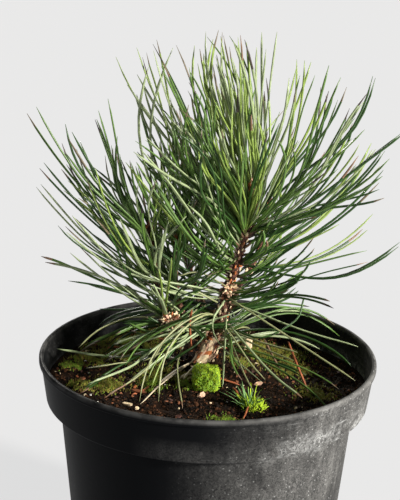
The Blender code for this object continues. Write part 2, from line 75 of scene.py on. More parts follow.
# Camera: where it stands, what it looks at, and how far it leans about its own axis
CAMERA_PLACE = Vector((0.0, -0.5589, 0.35024))
CAMERA_TARGET = Vector((-0.00541, 0.0, 0.18517))
CAMERA_LEAN = 1.56
CAMERA_LENS = 85.0
CAMERA_SENSOR = 36.0

# Light: two narrow suns as azimuth, height and strength, then a pale room and floor
SUNS = {"key": (61.0, 21.5, 7.0), "rim": (-163.0, 14.0, 1.1)}
SUN_SPREAD = 7.0
SUN_TINT = (1.0, 0.965, 0.90)
ROOM_TINT = (0.94, 0.97, 1.0)
ROOM_STRENGTH = 0.20
FLOOR_RADIUS = 12.0
FLOOR_SIDES = 96
FLOOR_TINT = (92, 92, 93)
FLOOR_ROUGHNESS = 0.9
FLOOR_GLOW = 0.70

# Pot: the source's sizes, with its corners rounded
CLEAR = 0.0003
POT_HEIGHT = 0.132
POT_RIM_RADIUS = 0.085
POT_WALL = 0.0015
POT_FLOOR = 0.002
LIP_HEIGHT = 0.003
LIP_PROUD = 0.0007
BAND_FOOT_Z = 0.1097
BAND_FOOT_RADIUS = 0.0814
BODY_TOP_RADIUS = 0.0749
BODY_FOOT_RADIUS = 0.0647
POT_SEGMENTS = 180
POT_SHARP_ANGLE = 50
ARC_STEPS = 5
DRAIN_HOLES = 8
DRAIN_SIDES = 20
DRAIN_RADIUS = 0.004
DRAIN_RING_RADIUS = 0.050
OUT_OF_ROUND = 0.0025
OUT_OF_ROUND_TURN = 0.6

# Roundings of the pot's corners, from its floor up the inside, over the lip and down to the foot
POT_ROUNDINGS = (0.0020, 0.0014, 0.0010, 0.0007, 0.0012, 0.0007, 0.0004, 0.0010, 0.0008, 0.0025)

# Dust with painted light and shade, and lime: ranges as what is read and what it becomes, fields as a
# noise's settings and its range
PLASTIC_TINT = (13, 14, 16)
PLASTIC_ROUGHNESS = (0.0, 0.5, 0.44, 0.85)
PLASTIC_GLOSS = 0.02
PLASTIC_GRAIN = (340.0, 5.0)
PLASTIC_BUMP = (0.14, 0.0004)
DUST_AND_LIGHT_TINT = (128, 127, 125)
LIME_TINT = (190, 191, 190)
# Painted light and shade in the dust: lighter on the sunlit right and in a painted reflection at the
# left edge, darker inside the pot and behind it
DUST_AND_SUNLIT_RIGHT = (-0.024, 0.050)
DUST_AND_EDGE_REFLECTION = (-0.038, -0.004)
DUST_AND_SHADE_BEHIND = (-0.004, 0.045, 1.0, 0.5)
DUST_AND_LIGHT_BAND_SHIFT = (0.012, 0.003, 0.018)
DUST_AND_LIGHT_BAND_DEPTH = 0.024
DUST_AND_LIGHT_BAND_SHARE = (0.030, 0.070, 0.80, 1.25)
DUST_AND_SHADE_INSIDE = 0.35
DUST_AND_LIGHT_INSIDE_LEFT = 0.9
DUST_AND_LIGHT_STRENGTH = 1.1
DUST_CLOUDS = ((34.0, 5.0), (0.34, 0.66, 0.45, 1.0))
DUST_GRIT = ((620.0, 8.0, 0.85, 1.4), (0.42, 0.60, 0.22, 1.0))
DUST_STREAKS = ((260.0, 4.0), (0.35, 0.62, 0.6, 1.0))
STREAK_HEIGHT = 0.08
BAND_EDGE = 0.0004
INNER_EDGE = 0.0002
BLOOM_RISE = 0.002
BLOOM_HEIGHT = (0.010, 0.003)
BLOOM_ACROSS = (-0.034, -0.004, 0.0, 0.34)
SPECK_SCALE = 700.0
SPECK_SIZE = (0.34, 0.16)
SPECK_CHOICE = (0.74, 0.90)
SPECK_STRENGTH = 0.50
BRUSH_MARKS = ((70.0, 4.0), (0.60, 0.74, 0.0, 0.4))
BRUSH_HEIGHT = 14.0
LIME_VEINS = ((210.0, 6.0, 0.7, 1.0), (0.050, 0.010, 0.12, 1.0))
LIME_PATCHES = ((85.0, 4.0), (0.40, 0.62))
LIME_ACROSS = (0.006, 0.050)
LIME_STRENGTH = 0.70
# Lip: wear and a painted highlight along its top edge, stronger on the right
LIP_WEAR_AND_HIGHLIGHT = ((90.0, 4.0), (0.3, 0.6))
LIP_WEAR_AND_HIGHLIGHT_BELOW = (0.0022, 0.0006)
LIP_WEAR_AND_HIGHLIGHT_STRENGTH = 0.60
LIP_WEAR_AND_HIGHLIGHT_ACROSS = (-0.06, 0.05, 0.35, 1.0)

# Soil: the source's surface, with lumps on it as fineness and height
SOIL_LEVEL = 0.1175
SOIL_HEAP = 0.0077
SOIL_HEAP_RADIUS = 0.020
SOIL_DIP = 0.003
SOIL_DIP_CENTRE = Vector((0.055, 0.055))
SOIL_DIP_RADIUS = 0.040
SOIL_RINGS = 110
SOIL_SEGMENTS = 260
SOIL_EDGE_CALM = 0.006
SOIL_LEAST_CALM = 0.15
LUMP_SIZES = ((75.0, 0.0011), (190.0, 0.0008), (480.0, 0.00045))

# Litter on the soil: crumbs, chips of bark and white grains
CRUMB_COUNT = 10000
CRUMB_MARGIN = 0.003
CRUMB_LEAST = 0.00028
CRUMB_GROWTH = 0.0011
CRUMB_SQUASH = (0.4, 1.2)
CRUMB_SHARES = (0.66, 0.308, 0.024, 0.008)
CHIP_OUTLINE = ((-1.0, 0.1), (-0.6, -0.8), (0.5, -1.0), (1.0, -0.2), (0.7, 0.9), (-0.4, 0.8))
CHIP_BEVEL = 0.8
CHIP_COUNT = 90
CHIP_MARGIN = 0.006
CHIP_LIFT = 0.0004
CHIP_LENGTHS = (0.0006, 0.0020)
CHIP_TILT = 0.35
CHIP_SEAM = (0.2, 0.0, 1.0)
CHIP_WIDTHS = (0.35, 0.7)
CHIP_DEPTHS = (0.00015, 0.0004)
CHIP_SHARES = (0.60, 0.26, 0.08, 0.06)
GRAIN_COUNT = 16
GRAIN_MARGIN = 0.010
GRAIN_SIZES = (0.0003, 0.0008)

# Pieces of litter: their looks, and the angle from which an edge shows
LITTER = {
    "soil_crumbs": (("earth_dark", "earth_brown", "bark_mid", "bark_pale"), 25),
    "bark_chips": (("bark_dark", "bark_mid", "bark_pale", "bark_orange"), 30),
    "loose_bark": (("bark_pink", "bark_pale", "bark_mid"), 30),
    "white_grains": (("grain_white",), 40),
}

# Pieces of bark lying loose: place, half sizes, turn in degrees and number of the look
LOOSE_BARK = {
    "front": ((-26, -259, 1190), (26, 16, 9), 50, 0),
    "behind": ((212, 440, 1202), (32, 22, 30), 20, 1),
    "right": ((260, -80, 1186), (26, 10, 5), 25, 0),
    "left": ((-330, -240, 1190), (42, 9, 6), 155, 2),
    "left_rim": ((-375, -400, 1192), (26, 8, 6), 165, 1),
    "left_rim_beside": ((-330, -430, 1188), (12, 7, 5), 20, 1),
}

# Moss in patches: place and radius
MOSS_PATCHES = {
    "left_far": (-600, 500, 120),
    "left_mid": (-420, 360, 170),
    "left_behind": (-300, 580, 110),
    "left_near": (-260, 0, 100),
    "left_wall": (-700, 100, 60),
    "front_left": (-270, -130, 70),
    "left_edge": (-620, 200, 90),
    "left_front": (-500, -140, 90),
    "left_rim": (-640, -160, 60),
    "between": (170, 170, 70),
    "beside_foot": (-120, -80, 50),
    "cushion_side": (-105, -150, 46),
    "right_mid": (370, 380, 140),
    "right_behind": (260, 500, 100),
    "right_near": (440, 160, 100),
    "right_front": (540, -160, 90),
    "front": (80, -520, 60),
}
GREEN_PATCHES = ("left_wall", "front_left", "cushion_side", "front")
GREEN_SHARE = 0.6
MOSS_COUNT = 74000
MOSS_FADE = 0.55
MOSS_CLUMP_FINENESS = 260.0
MOSS_CLUMP_LEAST = -0.12
MOSS_SINK = 0.0001
MOSS_LEAN = 0.45
MOSS_HEIGHTS = (0.0007, 0.0022)
MOSS_RADIUS = 0.00026
MOSS_SHARES = (0.66, 0.20, 0.14)

# Domes of moss: centre, half sizes, squareness and lumpiness
DOME_SINK = 0.0012
DOME_FILL = 0.90
DOME_LUMP_FINENESS = 2.6
TUFT_PLACE = Vector((0.0225, -0.0350))
TUFT_DOME = (TUFT_PLACE, (0.0065, 0.0065, 0.0045), 2.0, 0.4)
CUSHION_DOME = (Vector((-0.0005, -0.0130)), (0.0066, 0.0086, 0.0088), 7.0, 0.12)
CUSHION_LUMPS = 420
CUSHION_LUMP_SIZES = (0.0006, 0.0011)

# Their leaves: count, stray, lift, heights, radius, shares, and x beyond which all have the second look
CUSHION_LEAVES = (3600, 0.40, 0.4, (0.0008, 0.0018), 0.00024, (0.72, 0.22, 0.06), math.inf)
TUFT_LEAVES = (420, 0.4, 0.6, (0.0008, 0.0024), 0.00030, (0.45, 0.55), TUFT_PLACE.x)

# Blades that stand out of the tuft
TUFT_BLADES = 62
TUFT_BLADE_LEAN = (0.1, 1.5)
TUFT_BLADE_HEIGHTS = (0.005, 0.0135)
TUFT_BLADE_SHIFT = 0.0020
TUFT_BLADE_SPREAD = (0.0045, 0.0035)
TUFT_BLADE_WIDTH = 0.00048
TUFT_BLADE_TAPER = 0.92
TUFT_BLADE_BOW = 1.8
TUFT_BLADE_TILT = (0.0, 0.0, 0.01)
TUFT_BLADE_SECTION = ((1.0, 0.0), (0.0, 0.35), (-1.0, 0.0), (0.0, -0.2))
TUFT_BLADE_STATIONS = 6
TUFT_BLADE_SHARES = (0.15, 0.2, 0.65)

# Limbs: the source's ways, radii and stations, then the pitches of their husks and plates
TRUNK_WAY = metres((
    (-8, 80, 1240), (6, 80, 1300), (48, 80, 1432), (102, 80, 1649), (155, 80, 1860),
    (188, 80, 1980), (192, 80, 2080)))
TRUNK_RADII = metres((60, 48, 42, 32, 26, 24, 13))
BOUGH = (metres((31, 21)), 6, (0.00034, 0.0011))
LIMBS = {
    "trunk": (TRUNK_WAY, TRUNK_RADII, 16, (0.00036, 0.00060)),
    "bough_left": (metres(((35, 75, 1350), (-90, 50, 1395), (-190, 40, 1460))), *BOUGH),
    "bough_back_right": (metres(((75, 85, 1520), (135, 200, 1570), (200, 300, 1660))), *BOUGH),
    "bough_back_left": (metres(((40, 85, 1400), (-20, 200, 1450), (-70, 290, 1540))), *BOUGH),
}
STEM_RADIUS = 0.0013
STEM_STATIONS = 5
LEADER_STEM = 0.012
LOW_LEFT_WAY = metres(((10, 20, 1420), (-90, 10, 1430), (-200, -5, 1480)))

# Shoots: the bough, the way beyond it, and whether it leaves the bough's side or its tip
SHOOTS = {
    "left": ("bough_left", metres(((-266, 20, 1700), (-305, 20, 1940))), False),
    "inner": ("bough_left", metres(((-165, 65, 1600), (-180, 90, 1740), (-175, 100, 1890))), True),
    "back_left": ("bough_back_left", metres(((-120, 380, 1680), (-160, 440, 1900))), False),
    "back_right": ("bough_back_right", metres(((260, 360, 1780), (290, 400, 2000))), False),
}

# Bark: relief on the limbs and the scales that stand on them
SEAM_WAY = (0.13, 0.99, 0.03)
BARK_SIDES = 44
BARK_STEP = 0.0005
BARK_SINK = 0.0012
RELIEF_DEPTH = 0.0003
RELIEF_GRAIN = 900.0
RELIEF_WAVES = (5, 8)
RELIEF_TURNS = 2600.0
TWIG_RADII = (0.0016, 0.0013)
TWIG_SIDES = 12
FOOT_WAY = metres(((-70, 15, 1235), (-12, 40, 1285), (12, 68, 1345)))
FOOT_RADII = (0.0036, 0.0052, 0.0044)
SCAR_PLACE = (0.0150, 0.0060, 0.1760)
SCAR_SIZES = (0.0012, 0.0008, 0.0011)
SCALE_TURN = 2.39996
SCALE_TURN_STRAY = 0.12
SCALE_GROWTH = (0.7, 1.2)
SCALE_ROWS = ((0.0, 0.70), (0.45, 1.0), (0.80, 0.72))
SCALE_BOW = 0.45
SCALE_BACK = 0.15
SCALE_TIP = 1.08
SCALE_TAPER = 0.4
SCALE_SHARP_ANGLE = 45

# Coats of scales: their sizes, how deep they sit, how far they lean, and shares of BARK_LOOKS
HUSK_SIZES = (0.00060, 0.00055, 0.0022)
HUSK_SHARES = (0.03, 0.03, 0.10, 0.26, 0.58)
HUSKS = (HUSK_SIZES, 0.0017, (2, 14), HUSK_SHARES)
TWIG_HUSKS = (HUSK_SIZES, 0.00085, (2, 16), HUSK_SHARES)
PLATES = ((0.00095, 0.00070, 0.0027), 0.0005, (-4, 6), (0.66, 0.16, 0.10, 0.04, 0.04))
FLAKES = ((0.0015, 0.0006, 0.0044), 0.0017, (0, 14), (0.60, 0.24, 0.05, 0.03, 0.08))
FLAKE_PITCH = 0.00022
TWIG_PITCH = 0.00045

# Knots where shoots leave the limbs: centre, radius, scales, their size, facing and shares
BURRS = (
    ((-192, -24, 1472), 37, 120, 1.6, (0.2, -0.9, 0.3), (0.52, 0.14, 0.06, 0.10, 0.18)),
    ((98, 62, 1640), 28, 44, 1.3, (-0.1, -0.8, 0.1), (0.40, 0.40, 0.06, 0.04, 0.10)),
    ((-10, 40, 1395), 26, 40, 1.3, (0.0, -0.9, 0.2), (0.08, 0.08, 0.12, 0.22, 0.50)),
)
BURR_STRAY = 0.75
BURR_LEAN = 0.7
BURR_DEPTH = (0.6, 1.0)

# Buds round the leader's tip, then one on each shoot's tip: foot, tip, half width and tone
LEADER_BUDS = (
    ((146, 60, 2150), (134, 50, 2222), 11, "orange"),
    ((186, 50, 2145), (187, 45, 2215), 11, "orange"),
    ((136, 60, 2080), (102, 50, 2170), 10, "brown"),
    ((206, 45, 2030), (228, 30, 2112), 14, "brown"),
)
TIP_BUDS = {
    "left": ((0, -2, -30), (-2, -6, 58), 17, "brown"),
    "inner": ((0, -2, -60), (-4, -6, 12), 17, "orange"),
    "back_left": ((0, 0, -30), (0, 0, 60), 16, "brown"),
    "back_right": ((0, 0, -30), (0, 0, 60), 16, "brown"),
}
BUD_SHARES = {"orange": (0.12, 0.06, 0.42, 0.26, 0.14), "brown": (0.01, 0.01, 0.06, 0.22, 0.70)}
BUD_SEAM = (0.2, 0.9, 0.1)
BUD_SCALES = 70
BUD_REACH = 0.9
BUD_FOOT_PART = 0.22
BUD_ROUNDNESS = 0.8
BUD_LEAN = (8, -10)
BUD_FILL = 0.86
BUD_SCALE_WIDTH = (0.35, 0.25)
BUD_SCALE_THICKNESS = 0.30
BUD_SCALE_LENGTH = 0.22
BUD_CORE_STATIONS = 8
BUD_CORE_SIDES = 8
BUD_CORE_LEAST = 0.00012
BUD_CORE_LOOK = 3

# The rule for needles, as in the source
NEEDLE_MIDDLE_RADIUS = 0.00085
NEEDLE_GAP = 0.0005
NEEDLE_TRIES = 80
GOLDEN_PART = 0.618034
SWING_STRAY = 0.12
SWING_GROWTH = 0.38
LIFT_STRAY = 10.0
CURL_STRAY = 0.04
TEST_PARTS = (0.25, 0.5, 0.75, 1.0)
ROOT_ZONE = 0.014
ROOT_PART = 0.15
STEM_END_PART = 0.02
HEART_PARTS = (0.2, 1.7)
RIM_MARGIN = 0.0025

# How the crown thins out: off the trunk's bare side, by rise and in clumps
BARE_WAY = Vector((0.0, -0.959, 0.283))
BARE_WIDTH = 0.0042
BARE_HEIGHTS = (0.156, 0.199)
BARE_SHARE = 0.88
LOW_RISE = 0.42
HIGH_RISE = -0.14
CLUMP_FINENESS = 5.5
CLUMP_CONTRAST = 1.2
SUN_WAY = Vector((0.805, -0.446, 0.391))
CLOSE = (30, 1200)
NEAR = (40, 1200)
THROUGH = (-800, 800)

# Thin places in the crown, round straight ways: place, way, its ends, radius, percent dropped
CLEARINGS = {
    "rosette": ((-191, -30, 1474), BARE_WAY, CLOSE, 50, 92),
    "low_knot": ((-10, 30, 1395), BARE_WAY, CLOSE, 34, 70),
    "root_crown": ((-5, 20, 1285), BARE_WAY, NEAR, 60, 75),
    "cushion": ((-5, -150, 1235), BARE_WAY, NEAR, 60, 85),
    "rosette_sun": ((-191, -30, 1474), SUN_WAY, CLOSE, 44, 80),
    "right_flat": ((306, 167, 1281), BARE_WAY, (-40, 40), 25, 100),
    "left_low_far": ((-675, 0, 1722), BARE_WAY, THROUGH, 40, 100),
    "left_far": ((-900, 0, 2440), BARE_WAY, THROUGH, 80, 100),
    "left_lone": ((-500, 0, 2560), BARE_WAY, THROUGH, 60, 100),
    "right_low": ((690, 0, 1783), BARE_WAY, THROUGH, 70, 100),
    "left_rise_low": ((-560, 0, 1585), BARE_WAY, THROUGH, 60, 80),
    "root_crown_sun": ((10, 5, 1285), SUN_WAY, NEAR, 75, 80),
    "cushion_sun": ((0, -150, 1245), SUN_WAY, NEAR, 60, 70),
    "stem_sun": ((110, 60, 1700), SUN_WAY, NEAR, 60, 50),
    "left_valley": ((-360, 0, 2520), BARE_WAY, THROUGH, 80, 70),
    "left_valley_low": ((-350, 0, 2310), BARE_WAY, THROUGH, 60, 50),
    "left_low": ((-520, 0, 1690), BARE_WAY, THROUGH, 90, 70),
    "right_gap": ((640, 0, 2150), BARE_WAY, THROUGH, 60, 60),
    "right_gap_high": ((420, 0, 2300), BARE_WAY, THROUGH, 50, 50),
    "leader_right": ((290, 0, 2640), BARE_WAY, THROUGH, 50, 50),
}

# Blades: half-round needles, two to a sheath
BLADE_STATIONS = 13
BLADE_HALF_WIDTH = 0.00061
BLADE_THICKNESS = 0.00076
BLADE_SECTION = ((1.0, 0.0), (0.74, 0.62), (0.0, 1.0), (-0.74, 0.62), (-1.0, 0.0))
BLADE_SIZES = (0.85, 1.1)
BLADE_FOOT_WIDTH = 0.82
BLADE_FOOT_PART = 0.2
BLADE_TAPER_START = 0.88
BLADE_POINT = 0.16
BLADE_POINT_BOW = 1.6
BARK_ROOT_DROP = 0.003
BARK_ROOT_DEPTH = 0.7
PAIR_GAP = 0.0001
PAIR_SPLIT = (0.006, 0.085)
PAIR_SPLIT_BOW = 1.5
PAIR_REACH = 1.02
PAIR_SHORTENING = 0.42
BLADE_SHORTENING = 0.08
BLADE_SWAY = 0.05
TURN_STRAY = 0.09
SAG_STRAY = 0.20
SIDE_STRAY = 0.27
WAVE_STRAY = 0.018
BOX_MARGIN = 0.0006
GROUND_MARGIN = 0.0008
TIP_START = (0.84, 1.20)
TIP_SHARES = (0.58, 0.30, 0.12)
SHEATH_LENGTH = 0.0040
SHEATH_LENGTHS = (0.7, 1.15)
SHEATH_RADIUS = 0.00074
SHEATH_SHAPE = ((0.0, 0.9), (0.35, 1.0), (0.75, 0.92), (1.0, 0.72))
SHEATH_SIDES = 7
SHEATH_SHARES = (0.45, 0.55)

# Single needles that the eye picks out, pale roots and curled dead needles: look and way
STRAY_NEEDLES = {
    "flat_left": ("needle_sage", (-60, 30, 1420), (-358, 0, 1288), (-534, 50, 1256),
                  (-766, 0, 1307)),
    "pale_left": ("needle_old", (-80, 0, 1430), (-288, -50, 1295), (-440, -120, 1291),
                  (-599, -180, 1280)),
    "hooked_left": ("needle_old", (-100, 30, 1480), (-340, 0, 1490), (-439, 0, 1472),
                    (-557, -50, 1427), (-649, -80, 1345)),
    "dark_front": ("needle_deep", (-100, -10, 1400), (-414, -150, 1268), (-496, -220, 1258),
                   (-596, -400, 1244)),
    "dark_low": ("needle_deep", (-120, 0, 1410), (-290, -60, 1339), (-463, -140, 1265),
                 (-610, -270, 1202)),
    "olive_drop": ("needle_old", (-100, 20, 1400), (-150, -80, 1300), (-142, -260, 1255),
                   (-112, -450, 1200)),
    "far_left": ("needle_mid", (-190, 40, 1480), (-322, 0, 1582), (-552, 40, 1667),
                 (-758, 80, 1742), (-856, 100, 1764)),
    "far_left_low": ("needle_sage", (-195, 30, 1470), (-296, -20, 1574), (-496, -20, 1683),
                     (-675, 20, 1732), (-830, 60, 1746)),
    "far_left_near": ("needle_deep", (-195, 20, 1470), (-296, -30, 1560), (-490, -50, 1650),
                      (-700, -60, 1690)),
    "far_right": ("needle_mid", (105, 60, 1670), (175, 10, 1685), (298, 20, 1728),
                  (554, 40, 1797), (775, 50, 1859)),
    "far_right_low": ("needle_deep", (90, 50, 1590), (261, 0, 1644), (545, -10, 1755),
                      (775, -20, 1823)),
    "right_rising": ("needle_deep", (85, 50, 1575), (299, -20, 1651), (442, -30, 1748),
                     (492, -40, 1825)),
    "low_left": ("needle_old", (-60, 20, 1530), (-192, -180, 1467), (-293, -420, 1373),
                 (-465, -640, 1325)),
    "low_left_inner": ("needle_sage", (-60, 10, 1490), (-280, -240, 1399), (-375, -400, 1377),
                       (-545, -560, 1360)),
    "front_crook": ("needle_sage", (78, 30, 1585), (21, -60, 1498), (69, -140, 1403),
                    (264, -340, 1303)),
    "front_drop": ("needle_sage", (86, 20, 1500), (80, -120, 1375), (74, -300, 1250)),
    "dead_broad": ("dead", (405, -10, 1385), (428, -70, 1338), (450, -130, 1300),
                   (500, -203, 1198)),
    "dead_thin": ("tip_pink", (290, 60, 1362), (318, 0, 1322), (367, -120, 1270)),
    "pale_bent": ("needle_old", (91, 40, 1652), (-51, -40, 1751), (-167, -80, 1739)),
    "pale_bent_low": ("needle_old", (40, 20, 1575), (-157, -60, 1696), (-243, -100, 1660)),
    "dead_upright": ("dead", (-81, -40, 1340), (-93, -60, 1479), (-85, -80, 1570)),
    "right_over_rim": ("needle_sage", (110, 40, 1570), (457, -40, 1464), (746, -80, 1398)),
    "right_front": ("needle_old", (100, 20, 1597), (448, -200, 1445), (700, -390, 1345)),
    "right_dangling": ("needle_sage", (100, 20, 1460), (304, -280, 1331), (449, -460, 1279)),
    "right_crook": ("needle_deep", (470, 0, 1615), (432, -60, 1520), (265, -120, 1445),
                    (110, 20, 1440)),
    "root": ("bleached", (-13, 60, 1262), (-89, 30, 1238), (-176, -80, 1215),
             (-231, -177, 1205), (-271, -275, 1200), (-315, -400, 1195)),
    "root_beside": ("bleached", (-40, 40, 1262), (-130, 0, 1232), (-200, -90, 1210),
                    (-236, -150, 1200)),
    "root_front": ("bleached", (-30, 10, 1262), (-80, -60, 1240), (-120, -130, 1215)),
    "curl": ("bleached", (-50, -40, 1230), (-75, -75, 1222), (-110, -75, 1216),
             (-135, -100, 1207)),
    "curl_beside": ("bleached", (-35, -67, 1225), (-65, -85, 1216), (-100, -110, 1208)),
}
FALLEN_COUNT = 9
FALLEN_MARGIN = 0.022
FALLEN_EDGE_MARGIN = 0.002
FALLEN_LENGTHS = (0.010, 0.028)
FALLEN_BOW = 0.12
FALLEN_LIFT = 0.0007
FALLEN_SHARES = (0.65, 0.35)

# Colours as they look in daylight, red, green and blue to 255
TINTS = {
    "needle_deep": (46, 78, 28),
    "needle_mid": (84, 114, 50),
    "needle_fresh": (130, 152, 72),
    "needle_sage": (146, 160, 118),
    "needle_old": (146, 150, 106),
    "tip_grey": (112, 100, 78),
    "tip_dark": (66, 56, 48),
    "tip_pink": (130, 102, 80),
    "dead": (152, 84, 50),
    "bleached": (208, 192, 160),
    "sheath": (104, 78, 58),
    "sheath_dark": (58, 40, 30),
    "bark_pale": (230, 206, 168),
    "bark_pink": (210, 168, 140),
    "bark_orange": (184, 106, 58),
    "bark_mid": (130, 78, 48),
    "bark_dark": (66, 32, 22),
    "moss_dull": (132, 124, 42),
    "moss_green": (112, 148, 30),
    "moss_bright": (166, 194, 28),
    "moss_brown": (96, 74, 36),
    "grass": (116, 156, 92),
    "earth_dark": (20, 14, 9),
    "earth_brown": (72, 45, 27),
    "grain_white": (226, 222, 212),
}
NEEDLE_LOOKS = ("needle_deep", "needle_mid", "needle_fresh", "needle_sage", "needle_old", "dead")
TIP_LOOKS = ("tip_grey", "tip_dark", "tip_pink")
BARK_LOOKS = ("bark_pale", "bark_pink", "bark_orange", "bark_mid", "bark_dark")

# Families of grained looks, by the first word of their names: roughness, grain, contrast, bump, gloss
NEEDLE_FAMILY = (0.42, 260.0, 0.22, 0.10, 0.5)
DRY_FAMILY = (0.6, 500.0, 0.25, 0.25, 0.5)
MOSS_FAMILY = (0.7, 700.0, 0.25, 0.2, 0.5)
EARTH_FAMILY = (0.9, 900.0, 0.3, 0.6, 0.15)
FAMILIES = {
    "needle": NEEDLE_FAMILY, "tip": NEEDLE_FAMILY,
    "dead": DRY_FAMILY, "bleached": DRY_FAMILY, "sheath": DRY_FAMILY,
    "bark": (0.75, 1100.0, 0.28, 0.5, 0.5),
    "moss": MOSS_FAMILY, "grass": MOSS_FAMILY,
    "earth": EARTH_FAMILY, "grain": EARTH_FAMILY,
}
GRAIN_DETAIL = 4.0
GRAIN_RANGE = (0.34, 0.68)
GRAIN_DEPTH = 0.0003

# Looks in layers: tint from afar, roughness, gloss, three tints, two fields, and the relief
LAYERED_LOOKS = {
    "soil": ((45, 30, 22), 0.95, 0.1, ((10, 7, 4), (40, 25, 15), (132, 96, 66)),
             ((90.0, 6.0), (0.38, 0.66)), ((1400.0, 3.0), (0.60, 0.70, 0.0, 0.7)),
             (900.0, 8.0, 0.75), (0.9, 0.0006)),
    "bark": ((130, 78, 48), 0.8, 0.5, ((38, 20, 15), (96, 54, 35), (180, 134, 98)),
             ((520.0, 5.0, 0.6, 0.8), (0.40, 0.60)), ((800.0, 3.0), (0.58, 0.66)),
             (1100.0, 6.0, 0.7), (0.7, 0.0005)),
}


@dataclass
class Mass:
    """One mass of needles, as in the source, and how its colours are dealt out.

    Its stem is a shoot's name, or an azimuth and two heights for a stem that lies beside the
    trunk, whose needles start from the trunk's bark. Azimuth, spread and rise say in degrees
    where its needles head, and curl how they bend up. Shares are percentages of NEEDLE_LOOKS.
    Kept is the share of the needles that hasn't dropped, low_kept the share of those that rise
    little, high_kept of those that don't hang. Sag is how far a needle's middle hangs below the
    line to its tip.
    """
    name: str
    stem: object
    azimuth: float
    spread: float
    rise: tuple
    length: tuple
    curl: float
    count: int
    shares: tuple
    reach: tuple = (0, 0, 0)
    kept: float = 0.90
    low_kept: float = 1.0
    high_kept: float = 1.0
    sag: float = 0.18

    def __post_init__(self):
        self.beside = isinstance(self.stem, tuple)
        self.length = metres(self.length)
        self.reach = metres(self.reach)
        missing = (0,) * (len(NEEDLE_LOOKS) - len(self.shares))
        self.shares = [share / 100 for share in self.shares + missing]


# Shares of NEEDLE_LOOKS that several masses have
OLD = (20, 30, 6, 26, 18)
PALE = (20, 42, 4, 34)
DARK = (46, 34, 6, 14)

# Every mass of the source, round the trunk from its top down and on each bough's tip
MASSES = (
    Mass("needles_leader", "leader", 180, 105, (58, 84), (640, 740), 0.02, 36,
         (2, 24, 44, 30), (-100, 0, 400), kept=0.46),
    Mass("needles_right", (0, 1660, 2020), 0, 56, (0, 58), (630, 750), 0.10, 44,
         (60, 30, 5, 5), (360, 0, 260), kept=0.52, low_kept=0.35),
    Mass("needles_left_high", (180, 1660, 2020), 180, 52, (34, 68), (740, 880), 0.05, 38,
         (20, 42, 6, 32), (-160, -40, 400), kept=0.66),
    Mass("needles_front", (270, 1720, 2020), 270, 56, (22, 60), (600, 740), 0.08, 30,
         (34, 42, 10, 14), (0, -360, 260), kept=0.62),
    Mass("needles_back", (90, 1720, 2020), 90, 52, (22, 62), (660, 800), 0.08, 34,
         (22, 38, 26, 14), (0, 400, 260), kept=0.42),
    Mass("needles_left", "left", 195, 120, (4, 72), (680, 820), 0.09, 54,
         (34, 36, 8, 22), (-320, -100, 240), kept=0.32, low_kept=0.3),
    Mass("needles_left_inner", "inner", 100, 150, (20, 84), (640, 780), 0.04, 34,
         (28, 38, 18, 16), (-20, 100, 400), kept=0.5),
    Mass("needles_back_left", "back_left", 125, 130, (12, 76), (660, 780), 0.08, 40,
         (44, 36, 10, 10), (-160, 260, 300), kept=0.42, low_kept=0.4),
    Mass("needles_back_right", "back_right", 45, 130, (10, 76), (660, 780), 0.08, 42,
         (20, 34, 32, 14), (200, 260, 260), kept=0.40, low_kept=0.4),
    Mass("needles_skirt_left", (195, 1440, 1620), 195, 52, (-20, 2), (620, 780), -0.08, 28,
         (44, 36, 4, 10, 6), (-360, -100, -120), kept=0.70, high_kept=0.35, sag=-0.16),
    Mass("needles_skirt_right", (350, 1320, 1580), 345, 60, (-18, 8), (600, 760), -0.08, 34,
         (28, 32, 6, 22, 12), (360, -80, -60), kept=0.75, high_kept=0.12, sag=-0.16),
    Mass("needles_skirt_back", (50, 1300, 1480), 72, 50, (-8, 14), (580, 720), -0.08, 22,
         OLD, (100, 360, -40), kept=0.7, high_kept=0.4, sag=-0.12),
    Mass("needles_skirt_front", (270, 1310, 1600), 264, 40, (-14, 14), (460, 640), -0.14, 18,
         OLD, (0, -340, -60), kept=0.5, sag=-0.16),
)

